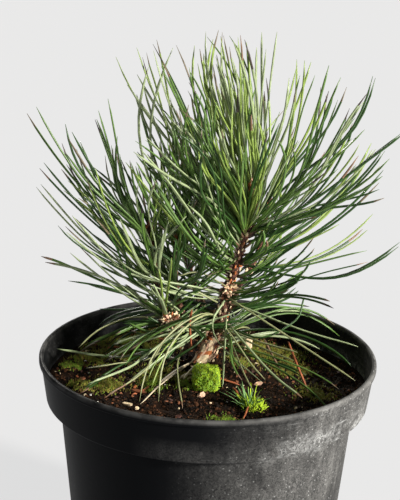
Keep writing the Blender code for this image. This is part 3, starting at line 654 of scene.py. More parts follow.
# Finer sprays that close each mass round its own twig, on the sides its rule leaves thin
FILLINGS = (
    Mass("needles_left_high", (200, 1500, 1960), 200, 52, (6, 60), (440, 700), 0.08, 34,
         PALE, low_kept=0.6),
    Mass("needles_leader", (250, 1900, 2040), 225, 80, (52, 80), (500, 740), 0.05, 34,
         (4, 28, 34, 34)),
    Mass("needles_left_high", (180, 1840, 2040), 184, 24, (52, 66), (880, 1020), 0.03, 14,
         (16, 34, 16, 34), kept=1.0),
    Mass("needles_leader", "leader", 190, 60, (60, 82), (740, 880), 0.02, 14,
         (10, 34, 34, 22), kept=1.0),
    Mass("needles_left", "left", 183, 24, (32, 60), (700, 840), 0.09, 20, DARK, kept=1.0),
    Mass("needles_left", "left", 262, 75, (18, 74), (440, 660), 0.08, 18, DARK),
    Mass("needles_left_inner", "inner", 270, 110, (18, 78), (440, 660), 0.06, 30, DARK),
    Mass("needles_left_inner", "inner", 176, 40, (66, 80), (780, 920), 0.03, 11,
         (24, 36, 16, 24), kept=1.0),
    Mass("needles_back_left", "back_left", 270, 120, (20, 78), (500, 680), 0.06, 24, DARK),
    Mass("needles_skirt_left", "low_left", 228, 62, (-34, 12), (240, 500), -0.10, 26,
         (42, 32, 4, 16, 6), sag=-0.2),
    Mass("needles_left_inner", "low_left", 270, 180, (-30, 46), (160, 360), 0.0, 60,
         (52, 28, 2, 12, 6), kept=1.0),
    Mass("needles_right", (0, 1900, 2060), 358, 30, (32, 50), (700, 840), 0.08, 14,
         (44, 36, 12, 8)),
    Mass("needles_right", (0, 1960, 2070), 0, 40, (52, 70), (660, 820), 0.06, 10,
         (16, 36, 30, 18), kept=1.0),
    Mass("needles_right", (345, 1500, 1820), 340, 50, (14, 46), (220, 400), 0.12, 30,
         (60, 30, 4, 6), kept=1.0),
)


def linear(tint):
    """A daylight colour as the renderer's linear red, green and blue."""
    parts = [level / 255 for level in tint]
    return tuple(
        part / 12.92 if part <= 0.04045 else ((part + 0.055) / 1.055) ** 2.4 for part in parts)


class Look:
    """A material in the making: its nodes, its shader and the place where its noises are read."""

    def __init__(self, name, tint, roughness, gloss):
        self.material = bpy.data.materials.new(name)
        self.material.use_nodes = True
        self.material.diffuse_color = (*linear(tint), 1.0)
        self.tree = self.material.node_tree
        self.shader = self.tree.nodes["Principled BSDF"].inputs
        self.shader["Roughness"].default_value = roughness
        self.shader["Specular IOR Level"].default_value = gloss
        self.place = self.node("ShaderNodeTexCoord").outputs["Object"]

    def feed(self, socket, value):
        """Gives a socket a plain value, or a link from another socket."""
        if isinstance(value, bpy.types.NodeSocket):
            self.tree.links.new(value, socket)
        else:
            socket.default_value = value

    def node(self, kind, **values):
        """A node with its inputs fed and its settings set, both by name."""
        made = self.tree.nodes.new(kind)
        for name, value in values.items():
            socket = made.inputs.get(name.replace("_", " "))
            if socket is None:
                setattr(made, name, value)
            else:
                self.feed(socket, value)
        return made

    def stretch(self, source, low, high, start=0.0, end=1.0, ease="LINEAR"):
        """Maps a value from low..high to start..end and clamps it."""
        return self.node(
            "ShaderNodeMapRange", interpolation_type=ease, Value=source,
            From_Min=low, From_Max=high, To_Min=start, To_Max=end).outputs["Result"]

    def combine(self, operation, result, *values):
        """Takes values, each a socket or a number, into one by a Math operation in turn."""
        for value in values:
            made = self.node("ShaderNodeMath", operation=operation)
            self.feed(made.inputs[0], result)
            self.feed(made.inputs[1], value)
            result = made.outputs[0]
        return result

    def product(self, *values):
        """Several values multiplied."""
        return self.combine("MULTIPLY", *values)

    def mix(self, share, under, over):
        """Lays a colour over another by a share, each colour a socket or a tuple."""
        made = self.node("ShaderNodeMix", data_type="RGBA", Factor=share)
        colours = [socket for socket in made.inputs if socket.type == "RGBA"]
        for socket, colour in zip(colours, (under, over)):
            self.feed(socket, (*colour, 1.0) if isinstance(colour, tuple) else colour)
        return next(socket for socket in made.outputs if socket.type == "RGBA")

    def along_height(self, factor):
        """The place with its heights scaled."""
        return self.node(
            "ShaderNodeMapping", Vector=self.place, Scale=(1.0, 1.0, factor)).outputs["Vector"]

    def noise(self, scale, detail, roughness=0.6, distortion=0.0, place=None):
        """A noise value read at a place."""
        return self.node(
            "ShaderNodeTexNoise", Vector=place or self.place, Scale=scale, Detail=detail,
            Roughness=roughness, Distortion=distortion).outputs["Fac"]

    def field(self, grain, span, place=None):
        """A noise value whose range is stretched."""
        return self.stretch(self.noise(*grain, place=place), *span)

    def finish(self, colour, relief, strength, depth):
        """Connects the colour and the relief, and hands over the material."""
        bump = self.node("ShaderNodeBump", Height=relief, Strength=strength, Distance=depth)
        self.feed(self.shader["Base Color"], colour)
        self.feed(self.shader["Normal"], bump.outputs["Normal"])
        return self.material


def dust_and_painted_light_share(look, across, depth, height, on_band):
    """How grey the pot is painted, dusting and painted light in one: most on the sunlit right and at
    the left front edge as a painted reflection, less inside and behind as painted shade.
    """
    shift = look.stretch(height, BAND_FOOT_Z, BAND_FOOT_Z + DUST_AND_LIGHT_BAND_SHIFT[0], *DUST_AND_LIGHT_BAND_SHIFT[1:])
    from_left = look.combine("SUBTRACT", across, look.product(on_band, shift))
    # Painted light: the sunlit right is laid on lighter, together with its real dust
    dust_and_sunlit_right = look.stretch(from_left, *DUST_AND_SUNLIT_RIGHT, ease="SMOOTHSTEP")
    flat = look.along_height(0.0)
    from_axis = look.node("ShaderNodeVectorMath", operation="LENGTH", Vector=flat).outputs["Value"]
    slope = (POT_RIM_RADIUS - LIP_PROUD - BAND_FOOT_RADIUS) / (POT_HEIGHT - BAND_FOOT_Z)
    widening = look.product(look.combine("SUBTRACT", height, BAND_FOOT_Z), slope)
    from_wall = look.combine("SUBTRACT", from_axis, widening)
    middle = BAND_FOOT_RADIUS - POT_WALL / 2
    inner = look.stretch(from_wall, middle - INNER_EDGE, middle + INNER_EDGE, 1.0, 0.0)
    inner = look.product(inner, on_band)
    from_front = look.combine("SUBTRACT", depth, look.product(on_band, DUST_AND_LIGHT_BAND_DEPTH))
    # Painted reflection: off the front the pot is laid on lighter, which shows as a pale strip at its
    # left edge
    dust_and_edge_reflection = look.product(
        look.stretch(from_front, *DUST_AND_EDGE_REFLECTION, ease="SMOOTHSTEP"),
        look.stretch(inner, 0.0, 1.0, 1.0, DUST_AND_LIGHT_INSIDE_LEFT))
    band_dust_and_light = look.combine("SUBTRACT", look.stretch(across, *DUST_AND_LIGHT_BAND_SHARE), 1.0)
    # Painted shade: less grey inside the pot and behind it
    return look.product(
        look.combine("MAXIMUM", dust_and_sunlit_right, dust_and_edge_reflection),
        look.stretch(depth, *DUST_AND_SHADE_BEHIND),
        look.stretch(inner, 0.0, 1.0, 1.0, DUST_AND_SHADE_INSIDE),
        look.combine("ADD", look.product(band_dust_and_light, on_band), 1.0))


def make_plastic_look():
    """Dusty black plastic: charcoal, grey dusting with painted light on the sunlit side, pale specks,
    lime marks and a lip with wear and a painted highlight.
    """
    look = Look("black_plastic", PLASTIC_TINT, 0.5, PLASTIC_GLOSS)
    across, depth, height = look.node("ShaderNodeSeparateXYZ", Vector=look.place).outputs
    on_band = look.stretch(height, BAND_FOOT_Z - BAND_EDGE, BAND_FOOT_Z + BAND_EDGE)
    dust_and_painted_light = dust_and_painted_light_share(look, across, depth, height, on_band)
    clouds = look.field(*DUST_CLOUDS)
    streaks = look.field(*DUST_STREAKS, place=look.along_height(STREAK_HEIGHT))
    grit = look.product(look.field(*DUST_GRIT), streaks)
    dust_and_light = look.product(clouds, grit, dust_and_painted_light, DUST_AND_LIGHT_STRENGTH)
    from_foot = look.combine("SUBTRACT", height, BAND_FOOT_Z + BLOOM_RISE)
    near_foot = look.stretch(look.combine("ABSOLUTE", from_foot, 0.0), *BLOOM_HEIGHT)
    bloom = look.product(near_foot, look.stretch(across, *BLOOM_ACROSS), clouds, on_band, grit)
    dust_and_light = look.combine("MAXIMUM", dust_and_light, bloom)
    cells = look.node("ShaderNodeTexVoronoi", Vector=look.place, Scale=SPECK_SCALE).outputs
    choice = look.node("ShaderNodeSeparateColor", Color=cells["Color"]).outputs[0]
    # The pale specks and brush marks follow the painted light, so they lie only on the sunlit side
    specks = look.product(
        look.stretch(cells["Distance"], *SPECK_SIZE), look.stretch(choice, *SPECK_CHOICE),
        dust_and_painted_light, SPECK_STRENGTH)
    vein_grain, vein_span = LIME_VEINS
    veins = look.combine("ABSOLUTE", look.combine("SUBTRACT", look.noise(*vein_grain), 0.5), 0.0)
    lime = look.product(
        look.stretch(veins, *vein_span), near_foot, look.stretch(across, *LIME_ACROSS),
        look.field(*LIME_PATCHES), LIME_STRENGTH)
    brushed = look.field(*BRUSH_MARKS, place=look.along_height(BRUSH_HEIGHT))
    specks = look.combine("MAXIMUM", specks, look.product(brushed, on_band, dust_and_painted_light))
    # Painted highlight: the lip's top edge is laid on lighter, more on the right, as wear and highlight
    # in one
    lip_start, lip_end = (POT_HEIGHT - below for below in LIP_WEAR_AND_HIGHLIGHT_BELOW)
    worn_and_highlight = look.product(
        look.stretch(height, lip_start, lip_end, 0.0, LIP_WEAR_AND_HIGHLIGHT_STRENGTH),
        look.field(*LIP_WEAR_AND_HIGHLIGHT), look.stretch(across, *LIP_WEAR_AND_HIGHLIGHT_ACROSS))
    colour = linear(PLASTIC_TINT)
    for share, tint in ((dust_and_light, DUST_AND_LIGHT_TINT), (worn_and_highlight, DUST_AND_LIGHT_TINT), (specks, LIME_TINT), (lime, LIME_TINT)):
        colour = look.mix(share, colour, linear(tint))
    chalky = look.combine("ADD", dust_and_light, specks, lime)
    look.feed(look.shader["Roughness"], look.stretch(chalky, *PLASTIC_ROUGHNESS))
    return look.finish(colour, look.noise(*PLASTIC_GRAIN), *PLASTIC_BUMP)


def make_layered_look(name, tint, roughness, gloss, tints, broad, fine, relief, bump):
    """A look whose second colour lies over the first in broad fields, and the third in fine ones."""
    look = Look(name, tint, roughness, gloss)
    colour = linear(tints[0])
    for (grain, span), over in zip((broad, fine), tints[1:]):
        colour = look.mix(look.field(grain, span), colour, linear(over))
    return look.finish(colour, look.noise(*relief), *bump)


def make_grained_look(name, tint, roughness, scale, contrast, bump, gloss):
    """A look whose colour wavers between darker and lighter grain, with a fine relief."""
    look = Look(name, tint, roughness, gloss)
    speckle = look.noise(scale, GRAIN_DETAIL)
    dark, light = (
        tuple(min(channel * factor, 1.0) for channel in linear(tint))
        for factor in (1 - contrast, 1 + contrast))
    colour = look.mix(look.stretch(speckle, *GRAIN_RANGE), dark, light)
    return look.finish(colour, speckle, bump, GRAIN_DEPTH)


def make_looks():
    """Every material by name."""
    looks = {"plastic": make_plastic_look()}
    for name, values in LAYERED_LOOKS.items():
        looks[name] = make_layered_look(name, *values)
    for name, tint in TINTS.items():
        looks[name] = make_grained_look(name, tint, *FAMILIES[name.split("_")[0]])
    return looks


def seeded(name):
    """The random numbers of one kind of thing."""
    return np.random.default_rng(SEEDS[name])


def deal(chance, count, shares):
    """Deals out numbers, such as those of looks, by their shares."""
    return chance.choice(len(shares), count, p=shares)


def as_array(points):
    """Points as rows of numbers."""
    return np.array([tuple(point) for point in points])


def as_vectors(points):
    """Rows of numbers as points."""
    return [Vector(point) for point in points]


def unit(vectors):
    """The same directions with length one."""
    return vectors / np.maximum(np.linalg.norm(vectors, axis=-1, keepdims=True), TINY)


def circle(sides):
    """Corners round a circle of radius one."""
    angles = FULL_TURN * np.arange(sides) / sides
    return np.stack([np.cos(angles), np.sin(angles)], axis=1)


def put(name, data):
    """An object in the scene that holds some data."""
    made = bpy.data.objects.new(name, data)
    bpy.context.scene.collection.objects.link(made)
    return made


def new_object(name, corners, faces, materials=()):
    """An object in the scene, made of corners and faces."""
    mesh = bpy.data.meshes.new(name)
    mesh.from_pydata(corners.tolist(), [], faces)
    for material in materials:
        mesh.materials.append(material)
    return put(name, mesh)


def stand_in(piece, replaced=(), sharp_angle=None):
    """Shades a piece smooth but for sharp edges, and says where it belongs and what it replaces."""
    piece.data.shade_smooth()
    if sharp_angle is not None:
        piece.data.set_sharp_from_angle(angle=math.radians(sharp_angle))
    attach(piece, BODY)
    if replaced:
        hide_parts(*replaced)


class Pile:
    """Corners, faces and looks of many small shapes that become one mesh."""

    def __init__(self):
        self.corners = []
        self.faces = []
        self.looks = []
        self.total = 0

    def add(self, corners, faces, look_numbers):
        """Adds shapes whose faces count from zero, one look for all or one for each face."""
        corners = np.asarray(corners, float).reshape(-1, 3)
        self.corners.append(corners)
        self.faces += (np.asarray(faces, int) + self.total).tolist()
        self.looks.append(np.broadcast_to(look_numbers, len(faces)))
        self.total += len(corners)

    def stamp(self, shape, origins, axes, look_numbers):
        """Adds a copy of a small shape at each origin, along its own three scaled axes."""
        corners, faces = shape
        count = len(origins)
        starts = np.arange(count)[:, None, None] * len(corners)
        looks = np.repeat(np.broadcast_to(look_numbers, count), len(faces))
        placed = origins[:, None, :] + np.einsum("ck,nkd->ncd", corners, axes)
        self.add(placed, (starts + faces[None]).reshape(-1, faces.shape[1]), looks)

    def add_tubes(self, rings, span_looks):
        """Adds closed tubes from rings of corners, with a look for each span of each tube."""
        count, stations, sides = rings.shape[:3]
        span_looks = np.broadcast_to(span_looks, (count, stations - 1))
        starts = self.total + np.arange(count)[:, None] * stations * sides
        faces = tube_faces(count, stations, sides)
        self.add(rings, faces, np.repeat(span_looks, sides, axis=1).ravel())
        self.faces += (starts + np.arange(sides)[::-1]).tolist()
        self.faces += (starts + (stations - 1) * sides + np.arange(sides)).tolist()
        self.looks.append(np.concatenate([span_looks[:, 0], span_looks[:, -1]]))

    def make(self, name, looks, look_names, slot, replaced=(), sharp_angle=None):
        """Makes the one mesh object and places it in the frame."""
        materials = [looks[look_name] for look_name in look_names]
        piece = new_object(name, np.concatenate(self.corners), self.faces, materials)
        numbers = np.concatenate(self.looks).astype(np.int32)
        piece.data.polygons.foreach_set("material_index", numbers)
        stand_in(piece, replaced, sharp_angle)


def tube_faces(count, stations, sides):
    """Quads round many tubes whose corners run tube by tube and ring by ring."""
    ring = np.arange(sides)
    ahead = (ring + 1) % sides
    band = np.stack([ring, ahead, ahead + sides, ring + sides], axis=1)
    tube = (np.arange(stations - 1)[:, None, None] * sides + band).reshape(-1, 4)
    return (np.arange(count)[:, None, None] * stations * sides + tube).reshape(-1, 4)


def rings_along(lines, outs, section, widths):
    """Rings of a cross section carried along lines, its second axis turned towards outs."""
    tangents = unit(np.gradient(lines, axis=1))
    out = outs[:, None, :] - tangents * np.sum(outs[:, None, :] * tangents, axis=2, keepdims=True)
    out = unit(out)
    across = np.cross(out, tangents)
    section = np.asarray(section, float)
    sideways = across[:, :, None, :] * section[:, 0][:, None]
    outward = out[:, :, None, :] * section[:, 1][:, None]
    return lines[:, :, None, :] + (sideways + outward) * widths[..., None, None]


def random_axes(chance, sizes):
    """Random turns with the given sizes along the three axes."""
    first = unit(chance.normal(size=sizes.shape))
    second = unit(np.cross(first, chance.normal(size=sizes.shape)))
    third = np.cross(first, second)
    return np.stack([first, second, third], axis=1) * sizes[:, :, None]


def ring_sides(sides, low):
    """Triangles from one ring of corners to the next, the first ring starting at low."""
    faces = []
    for side in range(sides):
        here, ahead = low + side, low + (side + 1) % sides
        faces += [(here, ahead, ahead + sides), (here, ahead + sides, here + sides)]
    return faces


def scale_shape():
    """A tongue-shaped scale: across, out and along, each about one long."""
    corners = []
    for along, half in SCALE_ROWS:
        lift = SCALE_BOW * along ** 2
        corners += [(half, lift, along), (0.0, lift + 1.0, along), (-half, lift, along)]
        corners.append((0.0, lift - SCALE_BACK, along))
    tip = len(corners)
    corners.append((0.0, SCALE_BOW, SCALE_TIP))
    faces = [face for low in range(0, tip - 4, 4) for face in ring_sides(4, low)]
    faces += [(tip - 4 + side, tip - 4 + (side + 1) % 4, tip) for side in range(4)]
    return np.array(corners), np.array(faces + [(3, 2, 1), (3, 1, 0)])


def crumb_shape():
    """A small twelve-cornered lump of radius one."""
    golden = (1 + math.sqrt(5)) / 2
    longest_edge = 1.1
    corners = []
    for first in (-1, 1):
        for second in (-golden, golden):
            corners += [(0, first, second), (first, second, 0), (second, 0, first)]
    corners = unit(np.array(corners, float))
    faces = []
    for a, b, c in combinations(range(len(corners)), 3):
        trio = corners[[a, b, c]]
        if np.linalg.norm(trio - np.roll(trio, 1, axis=0), axis=1).max() < longest_edge:
            outward = np.dot(np.cross(trio[1] - trio[0], trio[2] - trio[0]), trio[0])
            faces.append((a, b, c) if outward > 0 else (a, c, b))
    return corners, np.array(faces)


def chip_shape():
    """A flat splinter with bevelled ends, half sizes of one."""
    corners = [(x, y, -1.0) for x, y in CHIP_OUTLINE]
    corners += [(CHIP_BEVEL * x, CHIP_BEVEL * y, 1.0) for x, y in CHIP_OUTLINE]
    sides = len(CHIP_OUTLINE)
    faces = ring_sides(sides, 0)
    for index in range(1, sides - 1):
        faces += [(0, index + 1, index), (sides, sides + index, sides + index + 1)]
    return np.array(corners), np.array(faces)


def spike_shape():
    """A three-sided spike one high."""
    corners = [(x, y, 0.0) for x, y in circle(3)] + [(0.0, 0.0, 1.0)]
    return np.array(corners), np.array([(0, 1, 3), (1, 2, 3), (2, 0, 3)])


def rounded_profile(corners):
    """Profile points through corners of radius, height and rounding."""
    points = [np.array(corners[0][:2])]
    for before, (radius, height, rounding), after in zip(corners, corners[1:], corners[2:]):
        corner = np.array((radius, height))
        back = unit(np.array(before[:2]) - corner)
        forth = unit(np.array(after[:2]) - corner)
        half = math.acos(float(np.clip(back @ forth, -1, 1))) / 2
        centre = corner + unit(back + forth) * rounding / math.sin(half)
        start = corner + back * rounding / math.tan(half) - centre
        end = corner + forth * rounding / math.tan(half) - centre
        for step in range(ARC_STEPS + 1):
            part = step / ARC_STEPS
            points.append(centre + unit(start * (1 - part) + end * part) * rounding)
    points.append(np.array(corners[-1][:2]))
    return np.array(points)


def lathe(profile, segments):
    """Corners and faces of a profile turned round Z, from the axis back to the axis."""
    turned = profile[1:-1]
    flat = turned[:, None, 0:1] * circle(segments)[None]
    height = np.broadcast_to(turned[:, None, 1:2], (len(turned), segments, 1))
    rings = np.concatenate([flat, height], axis=2).reshape(-1, 3)
    poles = np.array([(0.0, 0.0, profile[0][1]), (0.0, 0.0, profile[-1][1])])
    faces = tube_faces(1, len(turned), segments).tolist()
    first_pole, last_ring = len(rings), len(rings) - segments
    for index in range(segments):
        ahead = (index + 1) % segments
        faces.append((first_pole, ahead, index))
        faces.append((first_pole + 1, last_ring + index, last_ring + ahead))
    return np.concatenate([rings, poles]), faces


def wall_radius(height):
    """Outer radius of the pot's body or band at a height, without its lip."""
    if height < BAND_FOOT_Z:
        return BODY_FOOT_RADIUS + (BODY_TOP_RADIUS - BODY_FOOT_RADIUS) * height / BAND_FOOT_Z
    part = (height - BAND_FOOT_Z) / (POT_HEIGHT - BAND_FOOT_Z)
    return BAND_FOOT_RADIUS + (POT_RIM_RADIUS - LIP_PROUD - BAND_FOOT_RADIUS) * part


def inside_wall(height, margin=0.0):
    """The radius at a height that leaves a margin to the pot's wall."""
    return wall_radius(height) - POT_WALL - margin


def make_pot(looks):
    """The pot's shell with rounded corners, a little out of round, and its drain holes."""
    lip_foot = POT_HEIGHT - LIP_HEIGHT
    ledge = BAND_FOOT_Z + POT_WALL
    shape = (
        (inside_wall(POT_FLOOR), POT_FLOOR),
        (BODY_TOP_RADIUS - POT_WALL, ledge),
        (inside_wall(ledge), ledge),
        (inside_wall(POT_HEIGHT), POT_HEIGHT),
        (POT_RIM_RADIUS, POT_HEIGHT),
        (POT_RIM_RADIUS, lip_foot),
        (wall_radius(lip_foot), lip_foot - LIP_PROUD / 2),
        (BAND_FOOT_RADIUS, BAND_FOOT_Z),
        (BODY_TOP_RADIUS, BAND_FOOT_Z),
        (BODY_FOOT_RADIUS, 0.0),
    )
    profile = [(*corner, rounding) for corner, rounding in zip(shape, POT_ROUNDINGS)]
    profile = rounded_profile([(0.0, POT_FLOOR, 0.0), *profile, (0.0, 0.0, 0.0)])
    corners, faces = lathe(profile, POT_SEGMENTS)
    turns = 2 * np.arctan2(corners[:, 1], corners[:, 0]) + OUT_OF_ROUND_TURN
    swell = 1 - OUT_OF_ROUND * (corners[:, 2] / POT_HEIGHT) ** 2 * (0.5 + 0.5 * np.cos(turns))
    corners[:, :2] *= swell[:, None]
    pot = new_object("pot_shell", corners, faces, [looks["plastic"]])
    drill_drains(pot)
    stand_in(pot, ["pot"], POT_SHARP_ANGLE)


def drill_drains(pot):
    """Cuts the ring of drain holes through the floor."""
    drills = Pile()
    for index in range(DRAIN_HOLES):
        angle = 2 * math.pi * (index + 0.5) / DRAIN_HOLES
        centre = np.array((math.cos(angle), math.sin(angle), 0.0)) * DRAIN_RING_RADIUS
        line = np.array([[centre + (0, 0, -POT_FLOOR), centre + (0, 0, 2 * POT_FLOOR)]])
        widths = np.full((1, 2), DRAIN_RADIUS)
        drills.add_tubes(rings_along(line, np.array([[1.0, 0, 0]]), circle(DRAIN_SIDES), widths), 0)
    cutter = new_object("drains", np.concatenate(drills.corners), drills.faces)
    cut = pot.modifiers.new("cut", "BOOLEAN")
    cut.operation = "DIFFERENCE"
    cut.object = cutter
    cut.solver = "EXACT"
    graph = bpy.context.evaluated_depsgraph_get()
    finished = bpy.data.meshes.new_from_object(pot.evaluated_get(graph), depsgraph=graph)
    pot.modifiers.clear()
    pot.data = finished
    bpy.data.objects.remove(cutter, do_unlink=True)


def soil_height(x, y):
    """The source's soil surface: level, heaped at the trunk and lower at the back right."""
    from_foot = (Vector((x, y)) - Vector(TRUNK_WAY[0][:2])).length / SOIL_HEAP_RADIUS
    from_dip = (Vector((x, y)) - SOIL_DIP_CENTRE).length / SOIL_DIP_RADIUS
    return SOIL_LEVEL + SOIL_HEAP * math.exp(-from_foot ** 2) - SOIL_DIP * math.exp(-from_dip ** 2)


def ground(x, y):
    """The soil surface with its lumps, calm against the pot's wall."""
    far = (inside_wall(SOIL_LEVEL) - math.hypot(x, y)) / SOIL_EDGE_CALM
    height = soil_height(x, y)
    for fineness, size in LUMP_SIZES:
        lump = noise.noise(Vector((x, y, size)) * fineness)
        height += size * min(max(far, SOIL_LEAST_CALM), 1.0) * lump
    return height


def make_soil(looks):
    """The soil that fills the pot, with a lumpy surface."""
    edge = inside_wall(SOIL_LEVEL, CLEAR)
    ledge = BAND_FOOT_Z + POT_WALL + CLEAR
    bottom = POT_FLOOR + CLEAR
    profile = [(edge * ring / SOIL_RINGS, SOIL_LEVEL) for ring in range(SOIL_RINGS + 1)]
    profile += [
        (inside_wall(ledge, CLEAR), ledge),
        (BODY_TOP_RADIUS - POT_WALL - CLEAR, ledge),
        (inside_wall(bottom, CLEAR), bottom),
        (0.0, bottom),
    ]
    corners, faces = lathe(np.array(profile)[::-1], SOIL_SEGMENTS)
    for corner in corners:
        if abs(corner[2] - SOIL_LEVEL) < TINY:
            height = ground(corner[0], corner[1])
            if math.hypot(corner[0], corner[1]) > edge - CLEAR:
                corner[:2] *= inside_wall(height, CLEAR) / edge
            corner[2] = height
    soil = new_object("soil_bed", corners, faces, [looks["soil"]])
    stand_in(soil, ["soil"])


def on_soil(x, y, lift=0.0):
    """Places on the soil, lifted a little."""
    return np.stack([x, y, np.array([ground(a, b) for a, b in zip(x, y)]) + lift], axis=1)


def scatter(chance, count, margin, lift=0.0):
    """Random places on the soil, away from the pot's wall by a margin."""
    radii = inside_wall(SOIL_LEVEL, margin) * np.sqrt(chance.random(count))
    angles = chance.uniform(0, FULL_TURN, count)
    return on_soil(radii * np.cos(angles), radii * np.sin(angles), lift)


def chip_axes(chance):
    """How the chips of bark lie: along, across and up."""
    lengths = chance.uniform(*CHIP_LENGTHS, CHIP_COUNT)
    turns = chance.uniform(0, FULL_TURN, CHIP_COUNT)
    tilt = chance.uniform(-CHIP_TILT, CHIP_TILT, CHIP_COUNT)
    along = np.stack([np.cos(turns) * np.cos(tilt), np.sin(turns) * np.cos(tilt), np.sin(tilt)], axis=1)
    across = unit(np.cross(CHIP_SEAM, along))
    return np.stack([
        along * lengths[:, None],
        across * (lengths * chance.uniform(*CHIP_WIDTHS, CHIP_COUNT))[:, None],
        np.cross(along, across) * chance.uniform(*CHIP_DEPTHS, CHIP_COUNT)[:, None],
    ], axis=1)


def make_litter(looks):
    """Crumbs of earth, chips and loose pieces of bark, and a few white grains on the soil."""
    chance = seeded("litter")
    crumbs, chips, pieces, grains = piles = [Pile() for _name in LITTER]
    places = scatter(chance, CRUMB_COUNT, CRUMB_MARGIN)
    sizes = CRUMB_LEAST + CRUMB_GROWTH * chance.random(CRUMB_COUNT) ** 4
    axes = random_axes(chance, sizes[:, None] * chance.uniform(*CRUMB_SQUASH, (CRUMB_COUNT, 3)))
    crumbs.stamp(crumb_shape(), places, axes, deal(chance, CRUMB_COUNT, CRUMB_SHARES))
    places = scatter(chance, CHIP_COUNT, CHIP_MARGIN, CHIP_LIFT)
    axes = chip_axes(chance)
    chips.stamp(chip_shape(), places, axes, deal(chance, CHIP_COUNT, CHIP_SHARES))
    for place, sizes, turn, look in LOOSE_BARK.values():
        turn = math.radians(turn)
        spin = Matrix.Rotation(turn, 3, "Z") @ Matrix.Rotation(turn, 3, "X")
        axes = [tuple(axis * size) for axis, size in zip(spin.col, metres(sizes))]
        pieces.stamp(chip_shape(), np.array([metres(place)]), np.array([axes]), look)
    places = scatter(chance, GRAIN_COUNT, GRAIN_MARGIN)
    sizes = chance.uniform(*GRAIN_SIZES, (GRAIN_COUNT, 3))
    grains.stamp(crumb_shape(), places, random_axes(chance, sizes), 0)
    for pile, (name, (look_names, sharp_angle)) in zip(piles, LITTER.items()):
        pile.make(name, looks, look_names, "soil", sharp_angle=sharp_angle)


def add_spikes(pile, chance, places, ups, heights, radius, look_numbers):
    """Spikes that stand on places along their own up directions."""
    ups = unit(ups)
    across = unit(np.cross(ups, chance.normal(size=ups.shape)))
    other = np.cross(ups, across)
    axes = np.stack([across * radius, other * radius, ups * heights[:, None]], axis=1)
    pile.stamp(spike_shape(), places, axes, look_numbers)


def make_moss_carpet(looks):
    """Low moss in patches, dull olive for the most part."""
    chance = seeded("carpet")
    patches = np.array([metres(patch) for patch in MOSS_PATCHES.values()])
    radii = patches[:, 2]
    chosen = deal(chance, MOSS_COUNT, radii ** 2 / np.sum(radii ** 2))
    angles = chance.uniform(0, FULL_TURN, MOSS_COUNT)
    far = radii[chosen] * np.abs(chance.normal(0, MOSS_FADE, MOSS_COUNT))
    x = patches[chosen, 0] + far * np.cos(angles)
    y = patches[chosen, 1] + far * np.sin(angles)
    inside = np.hypot(x, y) < inside_wall(SOIL_LEVEL, CRUMB_MARGIN)
    clumps = [noise.noise(Vector((a, b, 0.0)) * MOSS_CLUMP_FINENESS) for a, b in zip(x, y)]
    keep = inside & (np.array(clumps) > MOSS_CLUMP_LEAST)
    x, y, chosen = x[keep], y[keep], chosen[keep]
    count = len(x)
    ups = chance.normal(size=(count, 3)) * MOSS_LEAN + (0.0, 0.0, 1.0)
    heights = chance.uniform(*MOSS_HEIGHTS, count)
    green = np.isin(chosen, [list(MOSS_PATCHES).index(name) for name in GREEN_PATCHES])
    tones = deal(chance, count, MOSS_SHARES)
    tones = np.where(green & (chance.random(count) < GREEN_SHARE), 1, tones)
    pile = Pile()
    add_spikes(pile, chance, on_soil(x, y, -MOSS_SINK), ups, heights, MOSS_RADIUS, tones)
    pile.make("moss_carpet", looks, ("moss_dull", "moss_green", "moss_brown"), "moss")


def dome_places(chance, count, centre, sizes, squareness, lumpiness):
    """Random places on a low, more or less square dome in the soil, and its outward directions."""
    outward = unit(chance.normal(size=(count, 3)))
    outward[:, 2] = np.abs(outward[:, 2])
    bulge = np.sum(np.abs(outward) ** squareness, axis=1) ** (-1 / squareness)
    lumps = np.array([noise.noise(Vector(way) * DOME_LUMP_FINENESS) for way in outward])
    far = bulge * (DOME_FILL + lumpiness * lumps)
    seat = np.array((centre.x, centre.y, soil_height(*centre) - DOME_SINK))
    return seat + outward * np.array(sizes) * far[:, None], outward


def add_leaves(pile, chance, dome, count, stray, lift, heights, radius, shares, second_from):
    """Short leaves all over a dome, those right of a limit in the second look."""
    places, outward = dome_places(chance, count, *dome)
    ups = outward + chance.normal(size=outward.shape) * stray + (0.0, 0.0, lift)
    heights = chance.uniform(*heights, count)
    tones = np.where(places[:, 0] > second_from, 1, deal(chance, count, shares))
    add_spikes(pile, chance, places, ups, heights, radius, tones)


def make_moss_cushion(looks):
    """The bright cushion at the trunk's foot: a dome thick with short leaves."""
    chance = seeded("cushion")
    pile = Pile()
    add_leaves(pile, chance, CUSHION_DOME, *CUSHION_LEAVES)
    places, _outward = dome_places(chance, CUSHION_LUMPS, *CUSHION_DOME)
    sizes = chance.uniform(*CUSHION_LUMP_SIZES, (CUSHION_LUMPS, 3))
    pile.stamp(crumb_shape(), places, random_axes(chance, sizes), 1)
    look_names = ("moss_bright", "moss_green", "moss_dull")
    pile.make("moss_cushion_leaves", looks, look_names, "moss", ["moss_cushion"])


